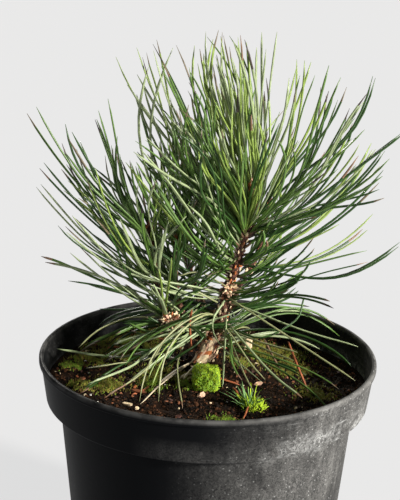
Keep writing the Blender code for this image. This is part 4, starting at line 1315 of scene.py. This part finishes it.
def tuft_blades(chance):
    """Lines and ways of the blades that stand out of the tuft."""
    angles = chance.uniform(0, FULL_TURN, TUFT_BLADES)
    lean = chance.uniform(*TUFT_BLADE_LEAN, TUFT_BLADES)
    height = chance.uniform(*TUFT_BLADE_HEIGHTS, TUFT_BLADES) / (1 + 0.5 * lean)
    away = np.stack([np.cos(angles), np.sin(angles), np.zeros(TUFT_BLADES)], axis=1)
    wide, deep = TUFT_BLADE_SPREAD
    feet = np.stack([
        TUFT_PLACE.x - TUFT_BLADE_SHIFT + wide * np.cos(angles) * chance.random(TUFT_BLADES),
        TUFT_PLACE.y + deep * np.sin(angles) * chance.random(TUFT_BLADES),
        np.full(TUFT_BLADES, soil_height(*TUFT_PLACE)),
    ], axis=1)
    parts = np.linspace(0, 1, TUFT_BLADE_STATIONS)[None, :, None]
    rise = parts * height[:, None, None] * np.array((0.0, 0.0, 1.0))
    reach = parts ** TUFT_BLADE_BOW * (height * lean)[:, None, None] * away[:, None, :]
    return feet[:, None, :] + rise + reach, away


def make_moss_tuft(looks):
    """The tuft at the front right: grassy blades that stand out of a small green clump."""
    chance = seeded("tuft")
    pile = Pile()
    add_leaves(pile, chance, TUFT_DOME, *TUFT_LEAVES)
    lines, away = tuft_blades(chance)
    taper = 1 - TUFT_BLADE_TAPER * np.linspace(0, 1, TUFT_BLADE_STATIONS) ** 2
    widths = TUFT_BLADE_WIDTH * taper[None] * np.ones((TUFT_BLADES, 1))
    tones = deal(chance, TUFT_BLADES, TUFT_BLADE_SHARES)[:, None]
    rings = rings_along(lines, unit(away + TUFT_BLADE_TILT), TUFT_BLADE_SECTION, widths)
    pile.add_tubes(rings, tones)
    look_names = ("moss_green", "moss_bright", "grass")
    pile.make("moss_tuft_blades", looks, look_names, "moss", ["moss_tuft"])


def smooth_way(way, stations):
    """Reads evenly spaced points from a smooth curve through the given ones."""
    knots = as_vectors(way)
    knots = [2 * knots[0] - knots[1]] + knots + [2 * knots[-1] - knots[-2]]
    spans = len(way) - 1
    points = []
    for step in range(stations + 1):
        place = min(step * spans / stations, spans - TINY)
        span = int(place)
        part = place - span
        before, start, end, after = knots[span:span + 4]
        points.append(0.5 * (
            2 * start
            + (end - before) * part
            + (2 * before - 5 * start + 4 * end - after) * part ** 2
            + (3 * start - before - 3 * end + after) * part ** 3
        ))
    return points


def spread_radii(radii, stations):
    """Reads the radius at each station from the radii given along the limb."""
    places = np.linspace(0, len(radii) - 1, stations + 1)
    return list(np.interp(places, range(len(radii)), radii))


def limb_line(name):
    """The axis points and radii of the trunk or a bough, from its foot to its tip."""
    way, radii, stations, _pitches = LIMBS[name]
    return smooth_way(way, stations), spread_radii(radii, stations)


def twig_line(stem):
    """A shoot's axis points and radii."""
    return stem, spread_radii(TWIG_RADII, len(stem) - 1)


def resampled(points, radii, step):
    """A limb's axis and radii at close even steps, as arrays."""
    points = as_array(points)
    lengths = np.linalg.norm(np.diff(points, axis=0), axis=1)
    along = np.concatenate([[0.0], np.cumsum(lengths)])
    stations = np.arange(0.0, along[-1] + step / 2, step)
    axis = np.stack([np.interp(stations, along, points[:, k]) for k in range(3)], axis=1)
    return stations, axis, np.interp(stations, along, radii)


def make_bark(looks, name):
    """A limb's bark: a fine tube with diamond cushions, furrows and roughness."""
    stations, axis, radii = resampled(*limb_line(name), BARK_STEP)
    rings = rings_along(axis[None], np.array([SEAM_WAY]), circle(BARK_SIDES), radii[None])
    outward = unit(rings[0] - axis[:, None, :])
    angles = FULL_TURN * np.arange(BARK_SIDES) / BARK_SIDES
    few, many = RELIEF_WAVES
    first = np.cos(few * angles[None] + RELIEF_TURNS * stations[:, None])
    second = np.cos(many * angles[None] - RELIEF_TURNS * stations[:, None])
    relief = RELIEF_DEPTH * (first * second)
    grain = [[noise.noise(Vector(corner) * RELIEF_GRAIN) for corner in ring] for ring in rings[0]]
    relief += RELIEF_DEPTH * np.array(grain) - BARK_SINK
    shrink = radii[:, None, None] / TRUNK_RADII[2]
    rings[0] += outward * relief[:, :, None] * np.minimum(shrink, 1.0)
    pile = Pile()
    pile.add_tubes(rings, 0)
    pile.make(name + "_bark", looks, ("bark",), "bark", [name])


def outwards(tangents, seam, turns):
    """Ways straight out from a line, each turned about it, and the way they are turned from."""
    side = unit(np.cross(tangents, seam))
    other = np.cross(tangents, side)
    turns = turns[:, None]
    return side * np.cos(turns) + other * np.sin(turns), side


def leaning(onward, radial, degrees):
    """Ways along, out and across of scales that lean out from a line by angles."""
    angles = np.radians(degrees)[:, None]
    along = onward * np.cos(angles) + radial * np.sin(angles)
    out = radial * np.cos(angles) - onward * np.sin(angles)
    return along, out, np.cross(out, along)


def add_scales(pile, chance, origins, ways, sizes, growth, shares):
    """Scales that start at places along their own ways, in sizes that are grown by factors."""
    along, out, across = ways
    width, thickness, length = sizes
    axes = np.stack([across * width, out * thickness, along * length], axis=1) * growth
    pile.stamp(scale_shape(), origins, axes, deal(chance, len(origins), shares))


def add_coat(pile, chance, line, pitch, sizes, sink, lean, shares):
    """Scales in a spiral up a limb, each leaning out from the bark."""
    _stations, axis, radii = resampled(*line, pitch)
    count = len(axis)
    tangents = unit(np.gradient(axis, axis=0))
    turns = SCALE_TURN * np.arange(count) + chance.normal(0, SCALE_TURN_STRAY, count)
    radial, _side = outwards(tangents, SEAM_WAY, turns)
    ways = leaning(tangents, radial, chance.uniform(*lean, count))
    taper = (radii / radii.max())[:, None, None] ** SCALE_TAPER
    growth = chance.uniform(*SCALE_GROWTH, (count, 1, 1)) * taper
    origins = axis + radial * (radii[:, None] - sink)
    add_scales(pile, chance, origins, ways, sizes, growth, shares)


def add_burr(pile, chance, centre, radius, count, size, facing, shares):
    """A knot of scales that look outwards from one place, fewer where it isn't facing."""
    out = unit(chance.normal(size=(count, 3)) * BURR_STRAY + np.array(facing))
    along = unit(out + chance.normal(size=(count, 3)) * BURR_LEAN)
    across = unit(np.cross(out, along))
    ways = (along, np.cross(along, across), across)
    growth = size * chance.uniform(*SCALE_GROWTH, (count, 1, 1))
    depth = metres(radius) * chance.uniform(*BURR_DEPTH, (count, 1))
    origins = np.array(metres(centre)) + out * depth
    add_scales(pile, chance, origins, ways, HUSK_SIZES, growth, shares)


def make_scales(looks, twigs):
    """The scales on trunk, boughs and twigs, and the knots where shoots leave them."""
    chance = seeded("scales")
    pile = Pile()
    for name, (*_shape, pitches) in LIMBS.items():
        for pitch, coat in zip(pitches, (HUSKS, PLATES)):
            add_coat(pile, chance, limb_line(name), pitch, *coat)
        if name == "trunk":
            add_coat(pile, chance, (as_vectors(FOOT_WAY), FOOT_RADII), FLAKE_PITCH, *FLAKES)
    for stem in twigs.values():
        add_coat(pile, chance, twig_line(stem), TWIG_PITCH, *TWIG_HUSKS)
    for values in BURRS:
        add_burr(pile, chance, *values)
    pile.stamp(crumb_shape(), np.array([SCAR_PLACE]), np.array([np.diag(SCAR_SIZES)]), 2)
    pile.make("bark_scales", looks, BARK_LOOKS, "bark", sharp_angle=SCALE_SHARP_ANGLE)


def bud_swell(parts):
    """How wide a bud is along its way."""
    round_part = np.clip(BUD_FOOT_PART + (1 - BUD_FOOT_PART) * parts, 0, 1)
    return np.sin(np.pi * round_part) ** BUD_ROUNDNESS


def add_bud(pile, chance, base, tip, width, shares):
    """A bud: overlapping scales in a spiral round a pointed spindle."""
    way = tip - base
    length = np.linalg.norm(way)
    forward = way / length
    parts = np.linspace(0.0, BUD_REACH, BUD_SCALES)
    radial, side = outwards(forward, BUD_SEAM, SCALE_TURN * np.arange(BUD_SCALES))
    ways = leaning(forward, radial, np.where(parts < 0.5, *BUD_LEAN))
    spread = (width * bud_swell(parts))[:, None]
    origins = base + forward * (parts * length * BUD_FILL)[:, None] + radial * spread * BUD_FILL
    least, more = BUD_SCALE_WIDTH
    sizes = (least * width + more * spread, width * BUD_SCALE_THICKNESS, length * BUD_SCALE_LENGTH)
    add_scales(pile, chance, origins, ways, sizes, 1.0, shares)
    core = np.linspace(0, 1, BUD_CORE_STATIONS)
    widths = np.maximum(width * bud_swell(core), BUD_CORE_LEAST)[None]
    line = (base + way * core[:, None])[None]
    rings = rings_along(line, side[None], circle(BUD_CORE_SIDES), widths)
    pile.add_tubes(rings, BUD_CORE_LOOK)


def make_buds(looks, twigs):
    """Buds round the leader's tip and at the tips of the shoots."""
    chance = seeded("buds")
    pile = Pile()
    buds = [(np.zeros(3), bud) for bud in LEADER_BUDS]
    buds += [(np.array(tuple(twigs[name][-1])), bud) for name, bud in TIP_BUDS.items()]
    for place, (base, tip, width, tone) in buds:
        ends = (place + metres(base), place + metres(tip))
        add_bud(pile, chance, *ends, metres(width), BUD_SHARES[tone])
    pile.make("buds", looks, BARK_LOOKS, "bark", sharp_angle=SCALE_SHARP_ANGLE)


def direction(heading, rise=0.0):
    """The way of length one that heads and rises by angles."""
    flat = math.cos(rise)
    return Vector((math.cos(heading) * flat, math.sin(heading) * flat, math.sin(rise)))


def stem_beside_trunk(azimuth, start, end):
    """A stem that lies along the trunk on one side, between two heights."""
    points, radii = limb_line("trunk")
    outward = direction(math.radians(azimuth))
    beside = []
    for index, point in enumerate(points):
        if metres(start) <= point.z <= metres(end):
            tangent = (points[min(index + 1, len(points) - 1)] - points[index - 1]).normalized()
            away = (outward - tangent * outward.dot(tangent)).normalized()
            beside.append(point + away * (radii[index] + STEM_RADIUS + 2 * CLEAR))
    return smooth_way(beside, STEM_STATIONS)


def stem_above_trunk():
    """The leader: a stem that carries on from the trunk's tip."""
    points, _radii = limb_line("trunk")
    onward = (points[-1] - points[-2]).normalized()
    start = points[-1] + onward * CLEAR
    return smooth_way([start, start + onward * LEADER_STEM], STEM_STATIONS)


def stem_on_bough(name, way, aside):
    """A stem that carries on from a bough's tip, or leaves its upper side just before the tip."""
    points, radii = limb_line(name)
    foot, onward, gap = points[-1], (points[-1] - points[-2]).normalized(), CLEAR
    if aside:
        foot, gap = points[-2], radii[-2] + 2 * CLEAR
        upward = (Vector(way[0]) - foot).normalized()
        onward = (upward - onward * upward.dot(onward)).normalized()
    start = foot + onward * gap
    straight_end = start + onward * 2 * STEM_RADIUS
    return [start] + smooth_way([straight_end] + as_vectors(way), STEM_STATIONS - 1)


def stem_line(stem):
    """The way of a mass's stem."""
    if isinstance(stem, tuple):
        return stem_beside_trunk(*stem)
    if stem == "leader":
        return stem_above_trunk()
    if stem == "low_left":
        return as_vectors(LOW_LEFT_WAY)
    return stem_on_bough(*SHOOTS[stem])


def needle_points(root, heading, rise, length, curl):
    """Root, middle and tip of a needle that bends up or down on its way out."""
    straight = direction(heading, rise)
    return [
        root + straight * length * part + Vector((0, 0, curl * length * part ** 2))
        for part in (0.0, 0.5, 1.0)]


def segment_gap(start_a, end_a, start_b, end_b):
    """Shortest distance between two straight stretches."""
    along_a = end_a - start_a
    along_b = end_b - start_b
    between = start_a - start_b
    aa = along_a.dot(along_a)
    bb = along_b.dot(along_b)
    ab = along_a.dot(along_b)
    a_between = along_a.dot(between)
    b_between = along_b.dot(between)
    spread = aa * bb - ab * ab
    part_a = 0.0
    if spread > TINY ** 2:
        part_a = min(max((ab * b_between - bb * a_between) / spread, 0.0), 1.0)
    part_b = min(max((ab * part_a + b_between) / bb, 0.0), 1.0)
    part_a = min(max((ab * part_b - a_between) / aa, 0.0), 1.0)
    return (between + along_a * part_a - along_b * part_b).length


def way_gap(points, other_points):
    """Shortest distance between two ways of straight stretches."""
    return min(
        segment_gap(*pair, *other_pair)
        for pair in zip(points, points[1:]) for other_pair in zip(other_points, other_points[1:]))


def heart_gap(place, heart):
    """Distance from a place to a mass's heart, a straight stretch through its middle."""
    start, end = heart
    along = end - start
    part = min(max((place - start).dot(along) / along.length_squared, 0.0), 1.0)
    return (place - start - along * part).length


def test_places(points, from_root=0.0):
    """Places along a needle, those nearer than a distance to its root left out."""
    for first, second in zip(points, points[1:]):
        for part in TEST_PARTS:
            place = first.lerp(second, part)
            if (place - points[0]).length >= from_root:
                yield place


def in_own_space(points, name, hearts):
    """True where the outer needle lies nearest to its own mass's heart, or there are none."""
    if not hearts:
        return True
    others = [heart for other, heart in hearts.items() if other != name]
    for place in test_places(points, ROOT_ZONE):
        own = heart_gap(place, hearts[name]) + 2 * NEEDLE_GAP
        if any(heart_gap(place, heart) < own for heart in others):
            return False
    return True


def over_pot_and_soil(points):
    """True where the needle stays above the soil and clear of the pot's wall and rim."""
    for place in test_places(points):
        if place.z < soil_height(place.x, place.y) + NEEDLE_MIDDLE_RADIUS + NEEDLE_GAP:
            return False
        inside = inside_wall(place.z, RIM_MARGIN)
        if place.z < POT_HEIGHT + RIM_MARGIN and place.xy.length > inside:
            return False
    return True


def clear_of(points, limbs):
    """True where the needle passes clear of limbs, each a way and a radius."""
    return all(
        way_gap(points, line) >= radius + NEEDLE_MIDDLE_RADIUS + NEEDLE_GAP
        for line, radius in limbs)


def hides_trunk(points):
    """True where the needle passes before the trunk, seen along the way it shows bare."""
    line, _radii = limb_line("trunk")
    for place in test_places(points, ROOT_ZONE / 2):
        back = (line[0].y - place.y) / BARE_WAY.y
        behind = place + BARE_WAY * back
        trunk_x = np.interp(behind.z, [point.z for point in line], [point.x for point in line])
        within = BARE_HEIGHTS[0] < behind.z < BARE_HEIGHTS[1]
        if back <= 0 and within and abs(behind.x - trunk_x) < BARE_WIDTH:
            return True
    return False


def grow_needles(mass, stem, hearts, limbs, others, seed):
    """Places a mass's needles by a seeded rule, skipping any that would leave its space."""
    chance = random.Random(seed)
    grown = []
    for index in range(mass.count):
        for attempt in range(NEEDLE_TRIES):
            along = (index + chance.random()) / mass.count
            along = min(max(along, STEM_END_PART), 1 - STEM_END_PART)
            stray = SWING_STRAY + SWING_GROWTH * attempt / NEEDLE_TRIES
            swing = (index * GOLDEN_PART + chance.uniform(-stray, stray)) % 1.0
            heading = math.radians(mass.azimuth + mass.spread * (2 * swing - 1))
            lift = mass.rise[0] + (mass.rise[1] - mass.rise[0]) * along
            lift += chance.uniform(-LIFT_STRAY, LIFT_STRAY)
            length = chance.uniform(*mass.length)
            place = along * (len(stem) - 1)
            span = int(place)
            root = stem[span].lerp(stem[span + 1], place - span)
            curl = mass.curl + chance.uniform(-CURL_STRAY, CURL_STRAY)
            points = needle_points(root, heading, math.radians(lift), length, curl)
            if not in_own_space(points, mass.name, hearts) or not over_pot_and_soil(points):
                continue
            outer = [points[0].lerp(points[1], ROOT_PART)] + points[1:]
            if clear_of(outer, limbs) and clear_of(points, others):
                grown.append(points)
                break
    return grown


def grow_crown():
    """Each mass with its needles: the source's own, and finer ones between them."""
    stems = [stem_line(mass.stem) for mass in MASSES + FILLINGS]
    hearts = {}
    placed = []
    for mass, stem in zip(MASSES, stems):
        middle = stem[len(stem) // 2]
        hearts[mass.name] = [middle + Vector(mass.reach) * part for part in HEART_PARTS]
        placed.append((mass.name, stem, STEM_RADIUS))
    limbs = []
    for line, radii in map(limb_line, LIMBS):
        limbs += [(line[index:index + 2], radius) for index, radius in enumerate(radii[:-1])]
    crown = []
    for seed, (mass, stem) in enumerate(zip(MASSES + FILLINGS, stems)):
        own_rule = seed < len(MASSES)
        others = [limb[1:] for limb in placed if own_rule and limb[0] != mass.name]
        needles = grow_needles(mass, stem, hearts if own_rule else {}, limbs, others, seed)
        placed += [(mass.name, points, NEEDLE_MIDDLE_RADIUS) for points in needles]
        crown.append((mass, thinned(mass, needles, seed)))
    return crown


def in_clearing(points, chance):
    """True where the needle passes through a clearing and is one of those that dropped there."""
    for place, way, ends, radius, percent in CLEARINGS.values():
        line = [Vector(metres(place)) + way * end for end in metres(ends)]
        if way_gap(points, line) < metres(radius) and chance.random() < percent / 100:
            return True
    return False


def thinned(mass, needles, seed):
    """The needles that haven't dropped, in clumps, most of them off the trunk's bare side."""
    chance = random.Random(seed)
    kept = []
    for points in needles:
        heading = (points[-1] - points[0]).normalized()
        clump = 1 + CLUMP_CONTRAST * noise.noise(heading * CLUMP_FINENESS + Vector((seed, 0, 0)))
        dropped = (
            hides_trunk(points) and chance.random() < BARE_SHARE,
            heading.z < LOW_RISE and chance.random() > mass.low_kept,
            heading.z > HIGH_RISE and chance.random() > mass.high_kept,
            chance.random() > mass.kept * clump,
            in_clearing(points, chance),
        )
        if not any(dropped):
            kept.append(points)
    return kept


def bark_roots(needles):
    """Where needles beside the trunk leave its bark, each on the side that it heads for."""
    _stations, axis, radii = resampled(*limb_line("trunk"), BARK_STEP)
    roots = []
    for root, middle, _tip in needles:
        nearest = np.argmin(np.linalg.norm(axis - np.array(tuple(root)), axis=1))
        low = max(nearest - round(BARK_ROOT_DROP / BARK_STEP), 0)
        tangent = unit(axis[min(low + 1, len(axis) - 1)] - axis[max(low - 1, 0)])
        heading = np.array(tuple(middle)) - axis[low]
        outward = unit(heading - tangent * (heading @ tangent))
        roots.append(axis[low] + outward * radii[low] * BARK_ROOT_DEPTH)
    return np.array(roots)


def pair_lines(chance, mass, roots, needles):
    """Axis lines of the two blades of every needle pair, and the way each blade faces."""
    middles, tips = (as_array(points[k] for points in needles) for k in (1, 2))
    rise = 4 * (middles - roots) - (tips - roots)
    bend = 2 * (tips - roots) - 4 * (middles - roots)
    count = len(needles)
    forward = unit(tips - roots)
    lift = unit(np.array((0.0, 0.0, 1.0)) - forward * forward[:, 2:] + forward * TINY)
    sideways = np.cross(forward, lift)
    size = np.linalg.norm(tips - roots, axis=1)[:, None]
    turn = lift * chance.normal(0, TURN_STRAY, (count, 1))
    turn += sideways * chance.normal(0, TURN_STRAY, (count, 1))
    hang = lift * chance.normal(mass.sag, SAG_STRAY, (count, 1))
    hang += sideways * chance.normal(0, SIDE_STRAY, (count, 1))
    rise, bend = rise + (turn - hang) * size, bend + hang * size
    lengths = np.linalg.norm(rise, axis=1)[:, None, None]
    side = unit(np.cross(rise, chance.normal(size=(count, 3))))
    other = unit(np.cross(rise, side))
    parts = np.linspace(0, 1, BLADE_STATIONS)
    reach = PAIR_REACH - PAIR_SHORTENING * chance.random((count, 1)) ** 3
    wave = chance.normal(0, WAVE_STRAY, (count, 1, 1)) * side[:, None]
    wave = wave + chance.normal(0, WAVE_STRAY, (count, 1, 1)) * other[:, None]
    lines, outs = [], []
    for way in (-1, 1):
        shorter = 1 - BLADE_SHORTENING * chance.random((count, 1)) ** 2
        at = (parts[None] * shorter * reach)[:, :, None]
        split = chance.uniform(*PAIR_SPLIT, (count, 1, 1)) * way
        sway = chance.uniform(-BLADE_SWAY, BLADE_SWAY, (count, 1, 1))
        line = roots[:, None] + rise[:, None] * at + bend[:, None] * at ** 2
        line = line + side[:, None] * (way * PAIR_GAP + split * lengths * at ** PAIR_SPLIT_BOW)
        line = line + other[:, None] * sway * lengths * at ** 2
        lines.append(line + wave * lengths * np.sin(2 * np.pi * at))
        outs.append(side * way)
    return kept_in_place(np.concatenate(lines)), np.concatenate(outs)


def kept_in_place(lines):
    """The same lines, shortened to the solids' box and bent off the soil and the pot's wall."""
    low = np.array(tuple(CAD_LOW)) + BOX_MARGIN
    high = np.array(tuple(CAD_HIGH)) - BOX_MARGIN
    roots = lines[:, :1]
    ways = lines - roots
    room = np.where(ways > 0, high - roots, low - roots)
    moving = np.abs(ways) > TINY
    shares = np.where(moving, room / np.where(moving, ways, 1.0), 1.0)
    lines = roots + ways * np.clip(shares.min(axis=(1, 2), keepdims=True), 0, 1)
    for index in np.flatnonzero(lines[:, :, 2].min(axis=1) < POT_HEIGHT + RIM_MARGIN):
        for place in lines[index]:
            far = math.hypot(place[0], place[1])
            inside = inside_wall(place[2], GROUND_MARGIN)
            if inside < far and place[2] < POT_HEIGHT + GROUND_MARGIN:
                place[:2] *= inside / far
            place[2] = max(place[2], soil_height(place[0], place[1]) + GROUND_MARGIN)
    return lines


def add_blades(pile, chance, lines, outs, body_looks, tip_looks):
    """Half-round blades along lines, in body colour with a tip of another colour."""
    count = len(lines)
    section = np.array(BLADE_SECTION) * (BLADE_HALF_WIDTH, BLADE_THICKNESS)
    parts = np.linspace(0, 1, BLADE_STATIONS)
    past = np.clip((parts - BLADE_TAPER_START) / (1 - BLADE_TAPER_START), 0, 1)
    widths = BLADE_FOOT_WIDTH + (1 - BLADE_FOOT_WIDTH) * np.clip(parts / BLADE_FOOT_PART, 0, 1)
    widths = widths * (1 - (1 - BLADE_POINT) * past ** BLADE_POINT_BOW)
    sizes = widths * chance.uniform(*BLADE_SIZES, (count, 1))
    starts = chance.uniform(*TIP_START, (count, 1))
    middles = (np.arange(BLADE_STATIONS - 1) + 0.5) / (BLADE_STATIONS - 1)
    span_looks = np.where(middles[None] > starts, tip_looks[:, None], body_looks[:, None])
    pile.add_tubes(rings_along(lines, outs, section, sizes), span_looks)


def add_sheaths(pile, chance, lines):
    """The brown sheath at the foot of each pair, from the bark outwards."""
    count = len(lines) // 2
    middle = (lines[:count] + lines[count:]) / 2
    onward = unit(middle[:, 2] - middle[:, 0])
    reach = SHEATH_LENGTH * chance.uniform(*SHEATH_LENGTHS, (count, 1))
    parts, shape = np.array(SHEATH_SHAPE).T
    lines = middle[:, :1] + onward[:, None] * reach[:, None] * parts[None, :, None]
    widths = SHEATH_RADIUS * shape * np.ones((count, 1))
    rings = rings_along(lines, chance.normal(size=(count, 3)), circle(SHEATH_SIDES), widths)
    pile.add_tubes(rings, deal(chance, count, SHEATH_SHARES)[:, None])


def make_crown(looks, twigs):
    """Blades of each mass as one piece, all sheaths as one, and the twigs."""
    chance = seeded("crown")
    sheaths, bark = Pile(), Pile()
    piles = {}
    for mass, needles in grow_crown():
        roots = bark_roots(needles) if mass.beside else as_array(points[0] for points in needles)
        lines, outs = pair_lines(chance, mass, roots, needles)
        body = np.tile(deal(chance, len(needles), mass.shares), 2)
        tip = len(NEEDLE_LOOKS) + deal(chance, len(lines), TIP_SHARES)
        add_blades(piles.setdefault(mass.name, Pile()), chance, lines, outs, body, tip)
        add_sheaths(sheaths, chance, lines)
    for name, pile in piles.items():
        pile.make(name + "_blades", looks, NEEDLE_LOOKS + TIP_LOOKS, "needles", [name])
    sheaths.make("sheaths", looks, ("sheath", "sheath_dark"), "bark")
    for stem in twigs.values():
        _stations, axis, radii = resampled(*twig_line(stem), BARK_STEP)
        outs = np.array([SEAM_WAY])
        bark.add_tubes(rings_along(axis[None], outs, circle(TWIG_SIDES), radii[None]), 0)
    bark.make("twigs", looks, ("bark",), "bark")


def fallen_line(start, turn, length, bow):
    """The way of a dead needle that lies on the soil."""
    limit = inside_wall(SOIL_LEVEL, FALLEN_EDGE_MARGIN)
    forward = np.array((math.cos(turn), math.sin(turn)))
    sideways = np.array((-forward[1], forward[0]))
    line = []
    for part in np.linspace(0, 1, BLADE_STATIONS):
        flat = start[:2] + forward * length * part + sideways * bow * length * part ** 2
        flat = flat * min(1.0, limit / np.linalg.norm(flat))
        line.append((*flat, ground(*flat) + FALLEN_LIFT))
    return np.array([line])


def make_strays(looks):
    """The stray needles by name, and dead ones that lie on the soil."""
    chance = seeded("strays")
    names = NEEDLE_LOOKS + TIP_LOOKS + ("bleached",)
    pile = Pile()
    for look, *way in STRAY_NEEDLES.values():
        line = as_array(smooth_way(metres(tuple(way)), BLADE_STATIONS - 1))[None]
        body = np.array([names.index(look)])
        tip = body if look == "bleached" else np.array([names.index("tip_pink")])
        add_blades(pile, chance, line, unit(chance.normal(size=(1, 3))), body, tip)
    starts = scatter(chance, FALLEN_COUNT, FALLEN_MARGIN)
    turns = chance.uniform(0, FULL_TURN, FALLEN_COUNT)
    lengths = chance.uniform(*FALLEN_LENGTHS, FALLEN_COUNT)
    bows = chance.uniform(-FALLEN_BOW, FALLEN_BOW, FALLEN_COUNT)
    for values in zip(starts, turns, lengths, bows):
        line = fallen_line(*values)
        body = np.array([names.index(chance.choice(("dead", "bleached"), p=FALLEN_SHARES))])
        add_blades(pile, chance, line, np.array([[0, 0, 1.0]]), body, body)
    pile.make("stray_needles", looks, names, "needles")


def make_floor():
    """A wide pale floor."""
    look = Look("floor", FLOOR_TINT, FLOOR_ROUGHNESS, 0.0)
    look.shader["Base Color"].default_value = (*linear(FLOOR_TINT), 1.0)
    look.shader["Emission Color"].default_value = (1.0, 1.0, 1.0, 1.0)
    look.shader["Emission Strength"].default_value = FLOOR_GLOW
    ring = np.pad(circle(FLOOR_SIDES), ((0, 0), (0, 1))) * FLOOR_RADIUS
    floor = new_object("floor", ring, [list(range(FLOOR_SIDES))], [look.material])


def make_light():
    """A low sun from the right, a faint one from behind the left, and a pale room."""
    for name, (azimuth, height, strength) in SUNS.items():
        azimuth, height = math.radians(azimuth), math.radians(height)
        flat = math.cos(height)
        toward = Vector((math.sin(azimuth) * flat, -math.cos(azimuth) * flat, math.sin(height)))
        data = bpy.data.lights.new(name, "SUN")
        data.energy = strength
        data.color = SUN_TINT
        data.angle = math.radians(SUN_SPREAD)
        sun = put(name, data)
        sun.location = toward
        sun.rotation_euler = toward.to_track_quat("Z", "Y").to_euler()
    world = bpy.data.worlds.new("room")
    world.use_nodes = True
    background = world.node_tree.nodes["Background"]
    background.inputs["Color"].default_value = (*ROOM_TINT, 1.0)
    background.inputs["Strength"].default_value = ROOM_STRENGTH
    bpy.context.scene.world = world


def make_camera():
    """The camera at the photograph's place."""
    data = bpy.data.cameras.new("camera")
    data.lens = CAMERA_LENS
    data.sensor_width = CAMERA_SENSOR
    camera = put("camera", data)
    camera.location = CAMERA_PLACE
    look = (CAMERA_TARGET - CAMERA_PLACE).to_track_quat("-Z", "Y").to_matrix().to_4x4()
    lean = Matrix.Rotation(math.radians(CAMERA_LEAN), 4, "Z")
    camera.rotation_euler = (look @ lean).to_euler()
    bpy.context.scene.camera = camera
    bpy.context.scene.view_settings.view_transform = "Standard"


def dress():
    """Builds every piece, the floor, the light and the camera."""
    looks = make_looks()
    twigs = {mass.stem: stem_line(mass.stem) for mass in MASSES if not mass.beside}
    for make in (make_pot, make_soil, make_litter, make_moss_carpet, make_moss_cushion, make_moss_tuft):
        make(looks)
    for name in LIMBS:
        make_bark(looks, name)
    make_crown(looks, twigs)
    make_scales(looks, twigs)
    make_buds(looks, twigs)
    make_strays(looks)
    make_floor()
    make_light()
    make_camera()


dress()
